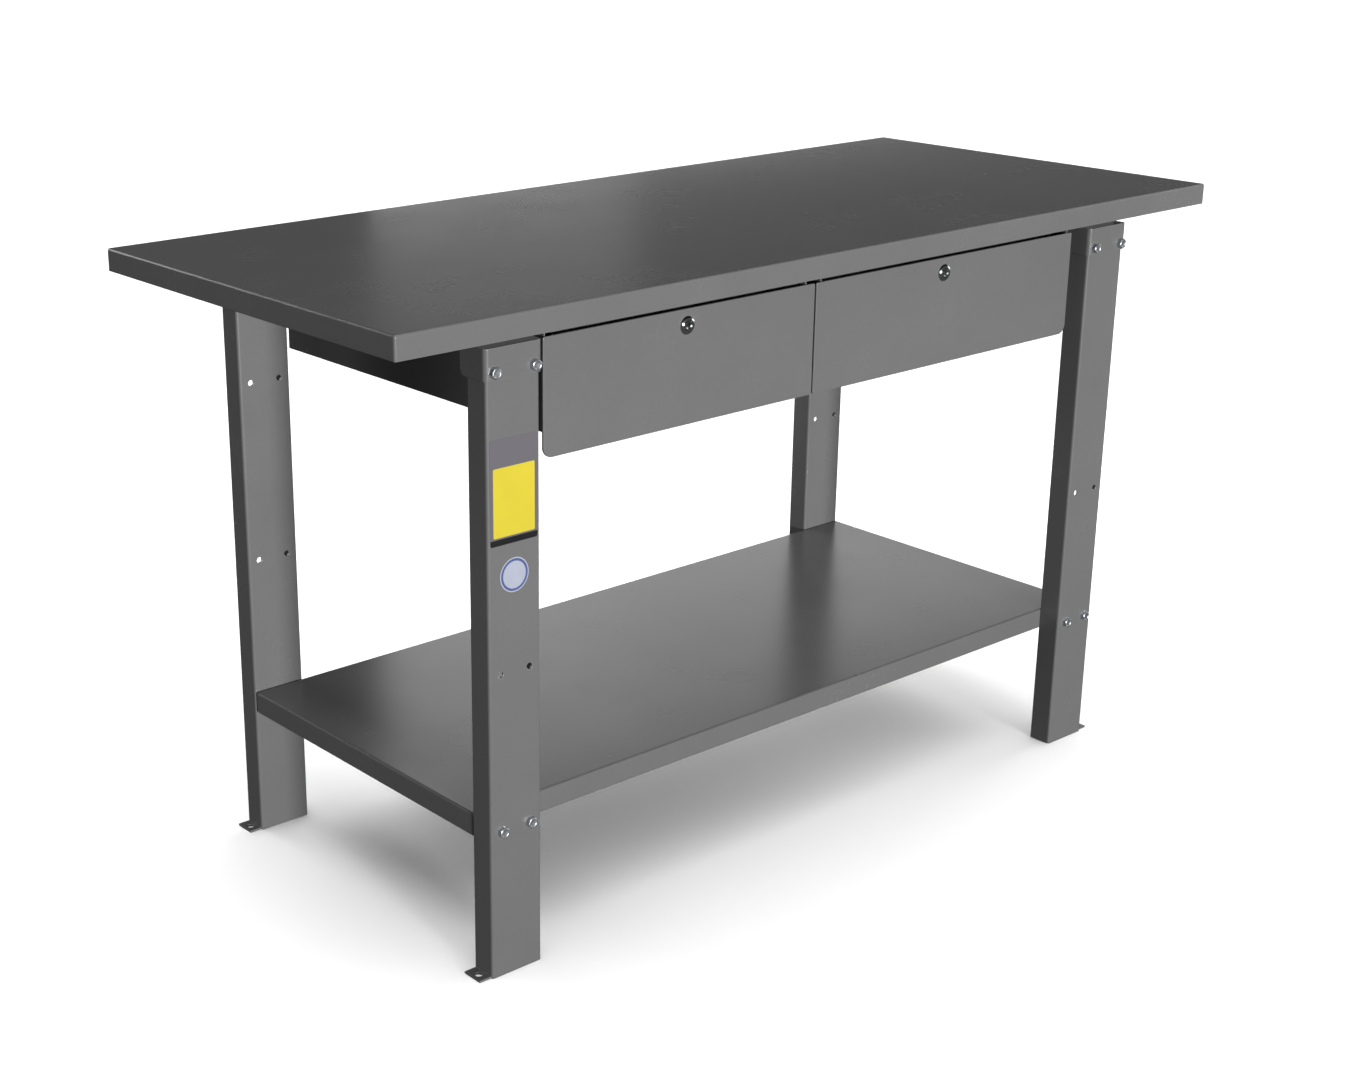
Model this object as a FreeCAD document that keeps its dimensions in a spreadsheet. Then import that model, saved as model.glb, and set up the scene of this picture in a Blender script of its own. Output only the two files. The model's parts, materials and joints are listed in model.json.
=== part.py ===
"""A steel workbench with two drawers and a lower shelf.

The frame is +Z up, in millimetres.  The origin is on the floor under the middle of the
worktop, +X is to the right along the bench and the drawers open towards -Y.
"""
import FreeCAD, Part
import os
import Sketcher
from FreeCAD import Placement, Rotation, Vector

SIZES = [
    # the whole bench
    ("bench_length", 1500, "length of the worktop"),
    ("bench_depth", 640, "depth of the worktop, front to back"),
    ("bench_height", 865, "floor to the worktop's upper face"),
    # worktop, a pan folded from sheet, and the channels welded under it
    ("top_edge", 30, "height of the worktop's folded edge"),
    ("top_sheet", 2, "sheet of the worktop"),
    ("top_return", 12, "inward fold at the foot of the worktop's edge"),
    ("top_bend", 3, "outer bend radius of the worktop"),
    ("rib_width", 60, "width of a channel under the worktop"),
    ("rib_sheet", 1.5, "sheet of a channel"),
    ("rib_flange", 12, "welding flange of a channel"),
    ("rib_drop", 15, "how far a channel hangs below the worktop's edge"),
    ("rib_setback", 82, "worktop's front edge to the middle line of the front channel"),
    ("rib_setback_rear", 54, "worktop's rear edge to the middle line of the rear channel"),
    # legs, folded channels that open to the rear
    ("leg_span", 1200, "outer face to outer face of the left and right legs"),
    ("leg_recess", 32, "worktop edge to the nearest face of a leg"),
    ("leg_width", 80, "web of a leg"),
    ("leg_depth", 35, "flange of a leg"),
    ("leg_sheet", 2.5, "sheet of a leg"),
    ("leg_bend", 3.5, "outer bend radius of a leg"),
    ("leg_play", 0.2, "space over a leg's upper end in its socket"),
    ("foot_reach", 18, "foot tab, from the leg's outer face"),
    ("foot_radius", 5, "radius of the floor anchor hole in a foot tab"),
    ("hole_radius", 4.25, "radius of a clearance hole for an M8 bolt"),
    ("hole_gap", 45, "distance between the two holes of a pair in a leg"),
    ("hole_low", 413, "height of the lower free pair of holes"),
    ("hole_high", 668, "height of the upper free pair of holes"),
    ("bolt_gap", 60, "distance between the two bolts of a socket"),
    ("bolt_level", 791, "height of the socket bolts"),
    ("socket_height", 39, "height of a leg socket"),
    ("socket_depth", 48.5, "depth of a leg socket"),
    ("socket_corner", 9, "rounding of a socket's lower rear corners"),
    ("seat_gap", 36, "distance between the two bolts through a socket's roof"),
    ("seat_setback", 34, "leg's front face to the bolts through a socket's roof"),
    # lower shelf, a pan like the worktop
    ("shelf_level", 217.5, "floor to the shelf's upper face"),
    ("shelf_length", 1198, "length of the shelf"),
    ("shelf_edge", 30, "height of the shelf's folded edge"),
    ("shelf_sheet", 1.5, "sheet of the shelf"),
    ("shelf_rib_height", 20, "height of the channel under the shelf"),
    ("spacer_width", 70, "width of a tube between a front leg and the shelf"),
    ("spacer_height", 26, "height of such a tube"),
    ("spacer_sheet", 2, "wall of such a tube"),
    # drawer housing, hung from the channels
    ("housing_width", 990, "outer width of the drawer housing"),
    ("housing_floor", 696, "height of the housing's lower edge"),
    ("housing_front", 266, "middle of the bench to the housing's front edge"),
    ("housing_rear", 290, "middle of the bench to the housing's rear face"),
    ("housing_sheet", 1.5, "sheet of the housing"),
    ("housing_flange", 20, "fold along the edges of a housing panel"),
    ("divider_shift", 37, "divider's middle line, left of the middle of the bench"),
    ("divider_width", 30, "outer width of the divider"),
    ("rail_front", 253.5, "middle of the bench to the front of a lock rail"),
    ("rail_floor", 806, "height of a lock rail's lower edge"),
    ("rail_depth", 13.5, "depth of a lock rail"),
    ("rail_gap", 2, "gap at a lock rail's ends"),
    # drawer slides
    ("slide_level", 745, "height of the slides' middle line"),
    ("slide_height", 45, "height of a slide"),
    ("slide_thick", 12.5, "space that a slide fills beside its drawer"),
    ("slide_sheet", 1.4, "sheet of a slide member"),
    ("slide_space", 1.2, "clearance between two members, where the balls run"),
    ("slide_lip", 10, "depth of the outer member"),
    ("slide_length", 500, "length of the outer member"),
    ("slide_run", 490, "length of the two moving members"),
    ("slide_front", 262, "middle of the bench to the slides' front end"),
    # drawers
    ("box_floor", 702, "height of a drawer box's underside"),
    ("box_top", 796, "height of its side and rear walls' upper edge"),
    ("box_wall_top", 812, "height of its front wall's upper edge"),
    ("box_rear", 228, "middle of the bench to its rear face"),
    ("box_sheet", 1.2, "sheet of a drawer box"),
    ("front_span", 1000, "width across both drawer fronts"),
    ("front_face", 270.7, "middle of the bench to the drawer fronts' faces"),
    ("front_sheet", 3, "plate of a drawer front"),
    ("front_floor", 665, "height of a drawer front's lower edge"),
    ("front_top", 815, "height of a drawer front's upper edge"),
    ("front_seam", 3, "gap between the two fronts"),
    ("front_corner", 14, "rounding of the lower outer corner of a front"),
    ("front_edge", 0.9, "softening of a front's edges"),
    # cam locks
    ("lock_level", 794, "height of the locks"),
    ("lock_left", -267.4, "place of the left drawer's lock along the bench"),
    ("lock_right", 218.4, "place of the right drawer's lock along the bench"),
    ("bezel_radius", 12, "radius of a lock's rim"),
    ("bezel_thick", 3.5, "how far the rim stands proud"),
    ("barrel_radius", 9.5, "radius of a lock's barrel"),
    ("barrel_length", 19, "length of the barrel behind the front's face"),
    ("plug_radius", 6.5, "radius of the turning plug"),
    ("plug_fit", 0.06, "clearance round the plug"),
    ("plug_proud", 0.6, "how far the plug stands out of the rim"),
    ("keyway_width", 1.8, "width of the keyway"),
    ("keyway_height", 8, "height of the keyway"),
    ("keyway_depth", 9, "depth of the keyway"),
    ("cam_reach", 22.5, "plug's axis to the cam's tip"),
    ("cam_width", 16, "width of the cam"),
    ("cam_sheet", 2.5, "thickness of the cam"),
    ("cam_gap", 0.3, "gap between the barrel's end and the cam"),
    ("locknut_flats", 24, "width of the lock's nut across its flats"),
    ("locknut_thick", 4, "thickness of the lock's nut"),
    # fasteners
    ("bolt_radius", 4, "radius of an M8 shank"),
    ("bolt_length", 16, "length of a short M8 shank"),
    ("bolt_long", 46, "length of a long M8 shank"),
    ("bolt_flats", 13, "width of an M8 head or nut across its flats"),
    ("bolt_head", 5.5, "height of the hexagon of an M8 head"),
    ("collar_radius", 8.5, "radius of the collar under an M8 head"),
    ("collar_thick", 1.5, "thickness of that collar"),
    ("nut_thick", 6.5, "thickness of an M8 nut"),
    ("nut_play", 0.05, "clearance in a nut's hole"),
    ("screw_radius", 2.4, "radius of a small screw's or rivet's shank"),
    ("screw_hole", 2.5, "radius of the hole for it"),
    ("screw_head", 4.4, "radius of a small screw's head"),
    ("screw_head_thick", 0.8, "height of a slide screw's low head"),
    ("rivet_head_thick", 1.6, "height of a rivet's or housing screw's head"),
    # stickers on the front left leg
    ("sticker_thick", 0.3, "thickness of a sticker"),
    ("backing_width", 72, "width of the dark sticker"),
    ("backing_height", 131, "height of the dark sticker"),
    ("backing_floor", 578, "height of its lower edge"),
    ("field_width", 63, "width of the yellow sticker"),
    ("field_height", 86, "height of the yellow sticker"),
    ("field_floor", 588, "height of its lower edge"),
    ("disc_radius", 22, "radius of the round sticker"),
    ("disc_level", 537, "height of its middle"),
]

doc = FreeCAD.newDocument("Workbench")
sheet = doc.addObject("Spreadsheet::Sheet", "Sizes")


class Size:
    """A length worked out from the sheet: its expression and its present value."""

    def __init__(self, text, value):
        self.text = text
        self.value = value

    @staticmethod
    def of(other):
        return other if isinstance(other, Size) else Size(f"({other})", other)

    def __add__(self, other):
        other = Size.of(other)
        return Size(f"({self.text} + {other.text})", self.value + other.value)

    def __sub__(self, other):
        other = Size.of(other)
        return Size(f"({self.text} - {other.text})", self.value - other.value)

    def __mul__(self, factor):
        return Size(f"({self.text} * ({factor}))", self.value * factor)

    def __truediv__(self, factor):
        return Size(f"({self.text} / {factor})", self.value / factor)

    def __neg__(self):
        return self * -1

    __rmul__ = __mul__


class Sheet:
    """The named sizes of the spreadsheet, as Size values."""


s = Sheet()
for row, (alias, number, note) in enumerate(SIZES, start=1):
    sheet.set(f"A{row}", note)
    sheet.set(f"B{row}", str(number))
    sheet.setAlias(f"B{row}", alias)
    setattr(s, alias, Size(f"Sizes.{alias}", number))
doc.recompute()

ZERO = Size("0", 0)
LEFT = -1
RIGHT = 1
FORWARD = Vector(0, -1, 0)
BACKWARD = Vector(0, 1, 0)
UP = Vector(0, 0, 1)
DOWN = Vector(0, 0, -1)
SLIDE_FRACTIONS = (0.07, 0.5, 0.93)
RAIL_FRACTIONS = (0.15, 0.85)
PARTS = []


# ---------------------------------------------------------------- helpers

def bind(made, prop, size):
    """Binds a property of an object to a size."""
    made.setExpression(prop, Size.of(size).text)


def place(made, x, y, z, way=UP, spin=0):
    """Binds an object's place, turned by spin degrees and then to point along way."""
    made.Placement = Placement(Vector(0, 0, 0), Rotation(UP, way) * Rotation(UP, spin))
    for key, size in zip("xyz", (x, y, z)):
        bind(made, f"Placement.Base.{key}", size)


def keep(made, name):
    """Makes an object a sub-part that is written out under its name."""
    made.Label = name
    PARTS.append(made)
    return made


def new_body(name, x=ZERO, y=ZERO, z=ZERO):
    made = keep(doc.addObject("PartDesign::Body", name), name)
    place(made, x, y, z)
    return made


def new_sketch(body, plane, lift=ZERO):
    """Makes a sketch on one of the body's own planes, lifted along its normal."""
    made = body.newObject("Sketcher::SketchObject", f"{body.Name}_sketch")
    origin = next(f for f in body.Origin.OriginFeatures if f.Role == plane)
    made.AttachmentSupport = [(origin, "")]
    made.MapMode = "FlatFace"
    if lift is not ZERO:
        bind(made, "AttachmentOffset.Base.z", lift)
    return made


def pin_point(sketch, edge, end, point):
    """Holds one point of a sketch at a pair of sizes from the sketch's origin."""
    for kind, size in zip(("DistanceX", "DistanceY"), point):
        size = Size.of(size)
        number = sketch.addConstraint(Sketcher.Constraint(kind, -1, 1, edge, end, size.value))
        sketch.setExpression(f"Constraints[{number}]", size.text)


def draw_outline(sketch, points):
    """Draws a closed outline through points, each a pair of sizes."""
    first = sketch.GeometryCount
    count = len(points)
    spots = [Vector(Size.of(a).value, Size.of(b).value, 0) for a, b in points]
    for k in range(count):
        sketch.addGeometry(Part.LineSegment(spots[k], spots[(k + 1) % count]), False)
    for k in range(count):
        joint = Sketcher.Constraint("Coincident", first + k, 2, first + (k + 1) % count, 1)
        sketch.addConstraint(joint)
        pin_point(sketch, first + k, 1, points[k])


def draw_rectangle(sketch, left, low, right, high):
    draw_outline(sketch, [(left, low), (right, low), (right, high), (left, high)])


def draw_circle(sketch, centre, radius):
    a, b = (Size.of(size) for size in centre)
    circle = Part.Circle(Vector(a.value, b.value, 0), UP, radius.value)
    edge = sketch.addGeometry(circle, False)
    pin_point(sketch, edge, 3, centre)
    number = sketch.addConstraint(Sketcher.Constraint("Radius", edge, radius.value))
    sketch.setExpression(f"Constraints[{number}]", radius.text)


def pad(body, sketch, length, back=False):
    """Extrudes a sketch along its plane's normal, or against it when back is set."""
    made = body.newObject("PartDesign::Pad", f"{body.Name}_pad")
    made.Profile = sketch
    bind(made, "Length", length)
    made.Reversed = back
    return made


def pocket(body, sketch, length, forward=False):
    """Cuts a sketch into the body against its plane's normal, or along it."""
    before = body.Tip
    made = body.newObject("PartDesign::Pocket", f"{body.Name}_pocket")
    made.Profile = sketch
    bind(made, "Length", length)
    made.Reversed = forward
    doc.recompute()
    if made.Shape.isNull() or made.Shape.Volume > before.Shape.Volume - 0.01:
        raise RuntimeError(f"{body.Name}: a pocket cuts nothing")
    return made


def drill(body, plane, spots, radius, depth, lift=ZERO, forward=False):
    """Cuts round holes of one size."""
    sketch = new_sketch(body, plane, lift)
    for spot in spots:
        draw_circle(sketch, spot, radius)
    return pocket(body, sketch, depth, forward)


def round_edges(body, radius, wanted):
    """Rounds the edges of the body so far whose two ends both pass the wanted test."""
    doc.recompute()
    base = body.Tip
    names = [
        f"Edge{k}"
        for k, edge in enumerate(base.Shape.Edges, start=1)
        if wanted([vertex.Point for vertex in edge.Vertexes])
    ]
    if not names:
        raise RuntimeError(f"{body.Name}: no edge to round")
    made = body.newObject("PartDesign::Fillet", f"{body.Name}_fillet")
    made.Base = (base, names)
    bind(made, "Radius", radius)
    return made


def near(value, size):
    return abs(value - Size.of(size).value) < 1e-4


def upright(ends, x, y):
    """Tells whether an edge runs along Z at x, y."""
    return len(ends) == 2 and all(near(p.x, x) and near(p.y, y) for p in ends)


def crosswise(ends, x, z):
    """Tells whether an edge runs along Y at x, z."""
    return len(ends) == 2 and all(near(p.x, x) and near(p.z, z) for p in ends)


def extrude(name, plane, points, length, x, y, z, back=False):
    """Makes a body by extruding one outline from x, y, z."""
    body = new_body(name, x, y, z)
    sketch = new_sketch(body, plane)
    draw_outline(sketch, points)
    pad(body, sketch, length, back)
    return body


def channel(width, height, wall):
    """The outline of a channel with its web at the bottom, centred on the first axis."""
    half = width / 2
    inner = half - wall
    return [
        (-half, 0), (half, 0), (half, height), (inner, height),
        (inner, wall), (-inner, wall), (-inner, height), (-half, height),
    ]


# ---------------------------------------------------------------- worktop and shelf

def folded_pan(name, length, depth, edge, wall, turn, level):
    """A pan of sheet with its edges folded down and then inwards."""
    body = new_body(name, z=level - edge)
    outline = new_sketch(body, "XY_Plane")
    draw_rectangle(outline, -length / 2, -depth / 2, length / 2, depth / 2)
    pad(body, outline, edge)
    round_edges(body, s.top_bend, lambda ends: max(p.z for p in ends) > 1)
    inside = new_sketch(body, "XY_Plane")
    draw_rectangle(inside, wall - length / 2, wall - depth / 2, length / 2 - wall, depth / 2 - wall)
    pocket(body, inside, edge - wall, forward=True)
    fold = new_sketch(body, "XY_Plane")
    overlap = wall / 2
    draw_rectangle(fold, overlap - length / 2, overlap - depth / 2,
                   length / 2 - overlap, depth / 2 - overlap)
    draw_rectangle(fold, turn - length / 2, turn - depth / 2, length / 2 - turn, depth / 2 - turn)
    pad(body, fold, wall)
    return body


def worktop_channel(name, y):
    """A hat channel welded under the worktop, along its whole length."""
    height = s.top_edge + s.rib_drop - s.top_sheet
    half = s.rib_width / 2
    inner = half - s.rib_sheet
    brim = half + s.rib_flange
    under = height - s.rib_sheet
    points = [
        (-half, 0), (half, 0), (half, under), (brim, under), (brim, height), (inner, height),
        (inner, s.rib_sheet), (-inner, s.rib_sheet), (-inner, height), (-brim, height),
        (-brim, under), (-half, under),
    ]
    return extrude(name, "YZ_Plane", points, rib_length, -rib_length / 2, y, rib_floor)


rib_floor = s.bench_height - s.top_edge - s.rib_drop
rib_length = s.leg_span + s.leg_sheet * 2
front_edge = -s.bench_depth / 2
rear_edge = s.bench_depth / 2
rib_rows = {
    "front": front_edge + s.rib_setback,
    "middle": ZERO,
    "rear": rear_edge - s.rib_setback_rear,
}
socket_roof = rib_floor - s.leg_sheet
leg_height = socket_roof - s.leg_play
leg_middle = s.leg_span / 2 - s.leg_width / 2
web_rows = {
    "front": front_edge + s.leg_recess,
    "rear": rear_edge - s.leg_recess - s.leg_depth,
}
free_hole_levels = {"front": [s.hole_low], "rear": [s.hole_low, s.hole_high]}
shelf_bolt_level = s.shelf_level - s.shelf_edge / 2
shelf_half_depth = s.bench_depth / 2 - s.leg_recess - s.leg_depth
housing_half = s.housing_width / 2
housing_height = rib_floor - s.housing_floor
front_back = s.front_sheet - s.front_face
divider_middle = -s.divider_shift
divider_half = s.divider_width / 2
divider_left = divider_middle - divider_half
divider_right = divider_middle + divider_half
rivet_shift = housing_half - s.housing_flange / 2 - s.housing_sheet / 2
rivet_levels = [s.housing_floor + housing_height * k for k in (0.15, 0.5, 0.8)]
hanging_columns = [-rivet_shift, divider_middle, rivet_shift]
rail_margin = s.housing_flange + s.rail_gap
rail_spans = {
    "left": (-housing_half + rail_margin, divider_left - s.rail_gap),
    "right": (divider_right + s.rail_gap, housing_half - rail_margin),
}
rail_screw_shift = s.rail_depth / 2 + s.housing_sheet / 2
rail_screw_row = rail_screw_shift - s.rail_front
rail_screw_columns = [left + (right - left) * k
                      for left, right in rail_spans.values() for k in RAIL_FRACTIONS]

worktop = folded_pan("worktop_pan", s.bench_length, s.bench_depth, s.top_edge,
                     s.top_sheet, s.top_return, s.bench_height)

for row, y in rib_rows.items():
    rib = worktop_channel(f"worktop_channel_{row}", y)
    start = rib_length / 2
    small = [(start + x, ZERO) for x in hanging_columns]
    if row == "front":
        small += [(start + x, rail_screw_row - y) for x in rail_screw_columns]
    drill(rib, "XY_Plane", small, s.screw_hole, s.rib_sheet * 2, forward=True)
    if row != "middle":
        seats = [(start + leg_middle * side + s.seat_gap / 2 * step,
                  web_rows[row] + s.seat_setback - y)
                 for side in (LEFT, RIGHT) for step in (LEFT, RIGHT)]
        drill(rib, "XY_Plane", seats, s.hole_radius, s.rib_sheet * 2, forward=True)


# ---------------------------------------------------------------- legs and sockets

def pair(middle, gap, level):
    """Two spots, side by side at one level."""
    return [(middle - gap / 2, level), (middle + gap / 2, level)]


def leg(name, side, web, free_levels):
    """A channel that opens to the rear, with its outer flange turned out as a foot tab."""
    body = new_body(name, leg_middle * side, web)
    profile = new_sketch(body, "XY_Plane")
    draw_outline(profile, channel(s.leg_width, s.leg_depth, s.leg_sheet))
    pad(body, profile, leg_height)
    half = s.leg_width / 2
    round_edges(body, s.leg_bend, lambda ends: upright(ends, half, 0) or upright(ends, -half, 0))
    inner = half - s.leg_sheet
    round_edges(body, s.leg_bend - s.leg_sheet,
                lambda ends: upright(ends, inner, s.leg_sheet) or upright(ends, -inner, s.leg_sheet))
    tab = new_sketch(body, "XY_Plane")
    root = (half - s.leg_sheet) * side
    tip = (half + s.foot_reach) * side
    near_end, far_end = (tip, root) if side == LEFT else (root, tip)
    draw_rectangle(tab, near_end, s.leg_bend, far_end, s.leg_depth)
    pad(body, tab, s.leg_sheet)
    anchor = ((half + s.foot_reach / 2) * side, s.leg_depth / 2)
    drill(body, "XY_Plane", [anchor], s.foot_radius, s.leg_sheet * 2, forward=True)
    holes = pair(ZERO, s.bolt_gap, s.bolt_level)
    for level in (*free_levels, shelf_bolt_level):
        holes += pair(ZERO, s.hole_gap, level)
    drill(body, "XZ_Plane", holes, s.hole_radius, s.leg_sheet * 2)
    return body


def leg_socket(name, side, web):
    """A folded cap over a leg's upper end, bolted through the leg and to a channel above."""
    wall = s.leg_sheet
    body = new_body(name, leg_middle * side, web - wall, rib_floor - s.socket_height)
    half = s.leg_width / 2 + wall
    block = new_sketch(body, "XY_Plane")
    draw_rectangle(block, -half, ZERO, half, s.socket_depth)
    pad(body, block, s.socket_height)
    top = s.socket_height
    round_edges(body, s.leg_bend + wall,
                lambda ends: upright(ends, half, 0) or upright(ends, -half, 0))
    hollow = new_sketch(body, "XY_Plane")
    draw_rectangle(hollow, wall - half, wall, half - wall, s.socket_depth + wall)
    pocket(body, hollow, top - wall, forward=True)
    round_edges(body, s.leg_bend,
                lambda ends: upright(ends, half - wall, wall) or upright(ends, wall - half, wall))
    round_edges(body, s.socket_corner,
                lambda ends: all(near(p.y, s.socket_depth) and near(p.z, 0) for p in ends))
    drill(body, "XZ_Plane", pair(ZERO, s.bolt_gap, s.bolt_level - rib_floor + top),
          s.hole_radius, wall * 2)
    drill(body, "XY_Plane", pair(ZERO, s.seat_gap, s.seat_setback + wall),
          s.hole_radius, wall * 2, lift=top - wall * 1.5, forward=True)
    return body


for row, web in web_rows.items():
    for side, hand in ((LEFT, "left"), (RIGHT, "right")):
        leg(f"leg_{row}_{hand}", side, web, free_hole_levels[row])
        leg_socket(f"leg_socket_{row}_{hand}", side, web)


# ---------------------------------------------------------------- lower shelf

shelf_holes = pair(-leg_middle, s.hole_gap, s.shelf_edge / 2)
shelf_holes += pair(leg_middle, s.hole_gap, s.shelf_edge / 2)
shelf = folded_pan("lower_shelf", s.shelf_length, shelf_half_depth * 2, s.shelf_edge,
                   s.shelf_sheet, s.top_return, s.shelf_level)
drill(shelf, "XZ_Plane", shelf_holes, s.hole_radius, s.shelf_sheet * 3,
      lift=shelf_half_depth + s.shelf_sheet)
drill(shelf, "XZ_Plane", shelf_holes, s.hole_radius, s.shelf_sheet * 3,
      lift=-shelf_half_depth - s.shelf_sheet, forward=True)

extrude("shelf_channel", "YZ_Plane", channel(s.rib_width, s.shelf_rib_height, s.rib_sheet),
        s.shelf_length - s.top_return * 4, -s.shelf_length / 2 + s.top_return * 2, ZERO,
        s.shelf_level - s.shelf_sheet - s.shelf_rib_height)


def shelf_spacer(name, side):
    """A short tube between a front leg's web and the shelf's edge, round both long bolts."""
    wall = s.spacer_sheet
    body = new_body(name, leg_middle * side, web_rows["front"] + s.leg_sheet, shelf_bolt_level)
    section = new_sketch(body, "XZ_Plane")
    wide = s.spacer_width / 2
    high = s.spacer_height / 2
    draw_rectangle(section, -wide, -high, wide, high)
    draw_rectangle(section, wall - wide, wall - high, wide - wall, high - wall)
    pad(body, section, s.leg_depth - s.leg_sheet, back=True)


shelf_spacer("shelf_spacer_left", LEFT)
shelf_spacer("shelf_spacer_right", RIGHT)


# ---------------------------------------------------------------- drawer housing

def housing_side(name, side):
    """A side panel folded inwards along its lower, upper and rear edges."""
    wall = s.housing_sheet
    fold = s.housing_flange
    outer = housing_half * side
    body = new_body(name, outer, -s.housing_front, s.housing_floor)
    profile = new_sketch(body, "XZ_Plane")
    thick = wall * -side
    reach = fold * -side
    top = housing_height
    draw_outline(profile, [
        (0, 0), (reach, 0), (reach, wall), (thick, wall),
        (thick, top - wall), (reach, top - wall), (reach, top), (0, top),
    ])
    length = s.housing_front + s.housing_rear - wall
    pad(body, profile, length, back=True)
    rear = new_sketch(body, "XZ_Plane", lift=-length)
    near_end, far_end = (thick / 2, reach) if side == LEFT else (reach, thick / 2)
    draw_rectangle(rear, near_end, wall / 2, far_end, top - wall / 2)
    pad(body, rear, wall)
    drill(body, "YZ_Plane", slide_holes(), s.screw_hole, wall * 4, lift=wall * 2)
    hang = [(reach / 2 + thick / 2, y + s.housing_front) for y in rib_rows.values()]
    drill(body, "XY_Plane", hang, s.screw_hole, wall * 2, lift=top - wall * 1.5, forward=True)
    rivets = [(reach / 2 + thick / 2, z - s.housing_floor) for z in rivet_levels]
    drill(body, "XZ_Plane", rivets, s.screw_hole, wall * 2, lift=-length + wall * 1.5)
    return body


def slide_holes():
    """Where a slide's outer member is screwed, from the housing's front lower corner."""
    level = s.slide_level - s.housing_floor
    return [(s.housing_front - s.slide_front + s.slide_length * k, level) for k in SLIDE_FRACTIONS]


housing_side("housing_side_left", LEFT)
housing_side("housing_side_right", RIGHT)

divider = new_body("housing_divider", divider_middle, -s.housing_front, s.housing_floor)
divider_profile = new_sketch(divider, "XZ_Plane")
divider_inner = divider_half - s.housing_sheet
draw_outline(divider_profile, [
    (-divider_half, 0), (-divider_inner, 0), (-divider_inner, housing_height - s.housing_sheet),
    (divider_inner, housing_height - s.housing_sheet), (divider_inner, 0), (divider_half, 0),
    (divider_half, housing_height), (-divider_half, housing_height),
])
pad(divider, divider_profile, s.housing_front + s.housing_rear - s.housing_sheet, back=True)
drill(divider, "YZ_Plane", slide_holes(), s.screw_hole, s.divider_width * 2, lift=s.divider_width)
drill(divider, "XY_Plane", [(0, y + s.housing_front) for y in rib_rows.values()],
      s.screw_hole, s.housing_sheet * 2, lift=housing_height - s.housing_sheet * 1.5,
      forward=True)

back_panel = new_body("housing_back", ZERO, s.housing_rear - s.housing_sheet, s.housing_floor)
back_outline = new_sketch(back_panel, "XZ_Plane")
draw_rectangle(back_outline, -housing_half, ZERO, housing_half, housing_height)
pad(back_panel, back_outline, s.housing_sheet, back=True)
back_rivets = [(rivet_shift * side, z - s.housing_floor)
               for side in (LEFT, RIGHT) for z in rivet_levels]
drill(back_panel, "XZ_Plane", back_rivets, s.screw_hole, s.housing_sheet * 2)


def lock_rail(name, left, right):
    """An angle under the front channel, behind which a lock's cam turns up."""
    wall = s.housing_sheet
    low = s.rail_floor - rib_floor
    points = [
        (0, low), (wall, low), (wall, -wall), (s.rail_depth, -wall), (s.rail_depth, 0), (0, 0),
    ]
    body = extrude(name, "YZ_Plane", points, right - left, left, -s.rail_front, rib_floor)
    holes = [((right - left) * k, rail_screw_shift) for k in RAIL_FRACTIONS]
    drill(body, "XY_Plane", holes, s.screw_hole, wall * 2, lift=-wall * 1.5, forward=True)
    return body


for hand, (left, right) in rail_spans.items():
    lock_rail(f"lock_rail_{hand}", left, right)


# ---------------------------------------------------------------- slides and drawers

def slide_member(name, wall_x, inward, start, reach, half, length, web_first=True):
    """One folded member of a slide, from start to reach away from the housing's wall."""
    t = s.slide_sheet
    web_a, web_b = (start, start + t) if web_first else (reach - t, reach)
    lip_a, lip_b = (web_b, reach) if web_first else (start, web_a)
    far = lip_b if web_first else lip_a
    near_side = web_a if web_first else web_b
    turn = web_b if web_first else web_a
    points = [
        (near_side, -half), (far, -half), (far, t - half), (turn, t - half),
        (turn, half - t), (far, half - t), (far, half), (near_side, half),
    ]
    points = [(a * inward, b) for a, b in points]
    return extrude(name, "XZ_Plane", points, length, wall_x, -s.slide_front, s.slide_level,
                   back=True)


def drill_slide(body, inward, spot, depth):
    """Drills a slide member's web for its three screws, from spot away from the wall."""
    holes = [(s.slide_length * k, 0) for k in SLIDE_FRACTIONS]
    drill(body, "YZ_Plane", holes, s.screw_hole, depth, lift=spot * inward,
          forward=inward == RIGHT)


def drawer_slide(tag, hand, wall_x, inward):
    """A telescopic slide: the outer member on the housing, the inner one on the drawer."""
    t = s.slide_sheet
    space = s.slide_space
    half = s.slide_height / 2
    outer = slide_member(f"{tag}_slide_outer_{hand}", wall_x, inward, ZERO, s.slide_lip, half,
                         s.slide_length)
    drill_slide(outer, inward, -t, t * 3)
    middle_half = half - t - space
    slide_member(f"{tag}_slide_middle_{hand}", wall_x, inward, t + space,
                 s.slide_lip + t + space - 2, middle_half, s.slide_run)
    inner_half = middle_half - t - space
    inner = slide_member(f"{tag}_slide_inner_{hand}", wall_x, inward, t * 2 + space * 2,
                         s.slide_thick, inner_half, s.slide_run, web_first=False)
    drill_slide(inner, inward, s.slide_thick - t * 2, t * 3)


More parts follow.
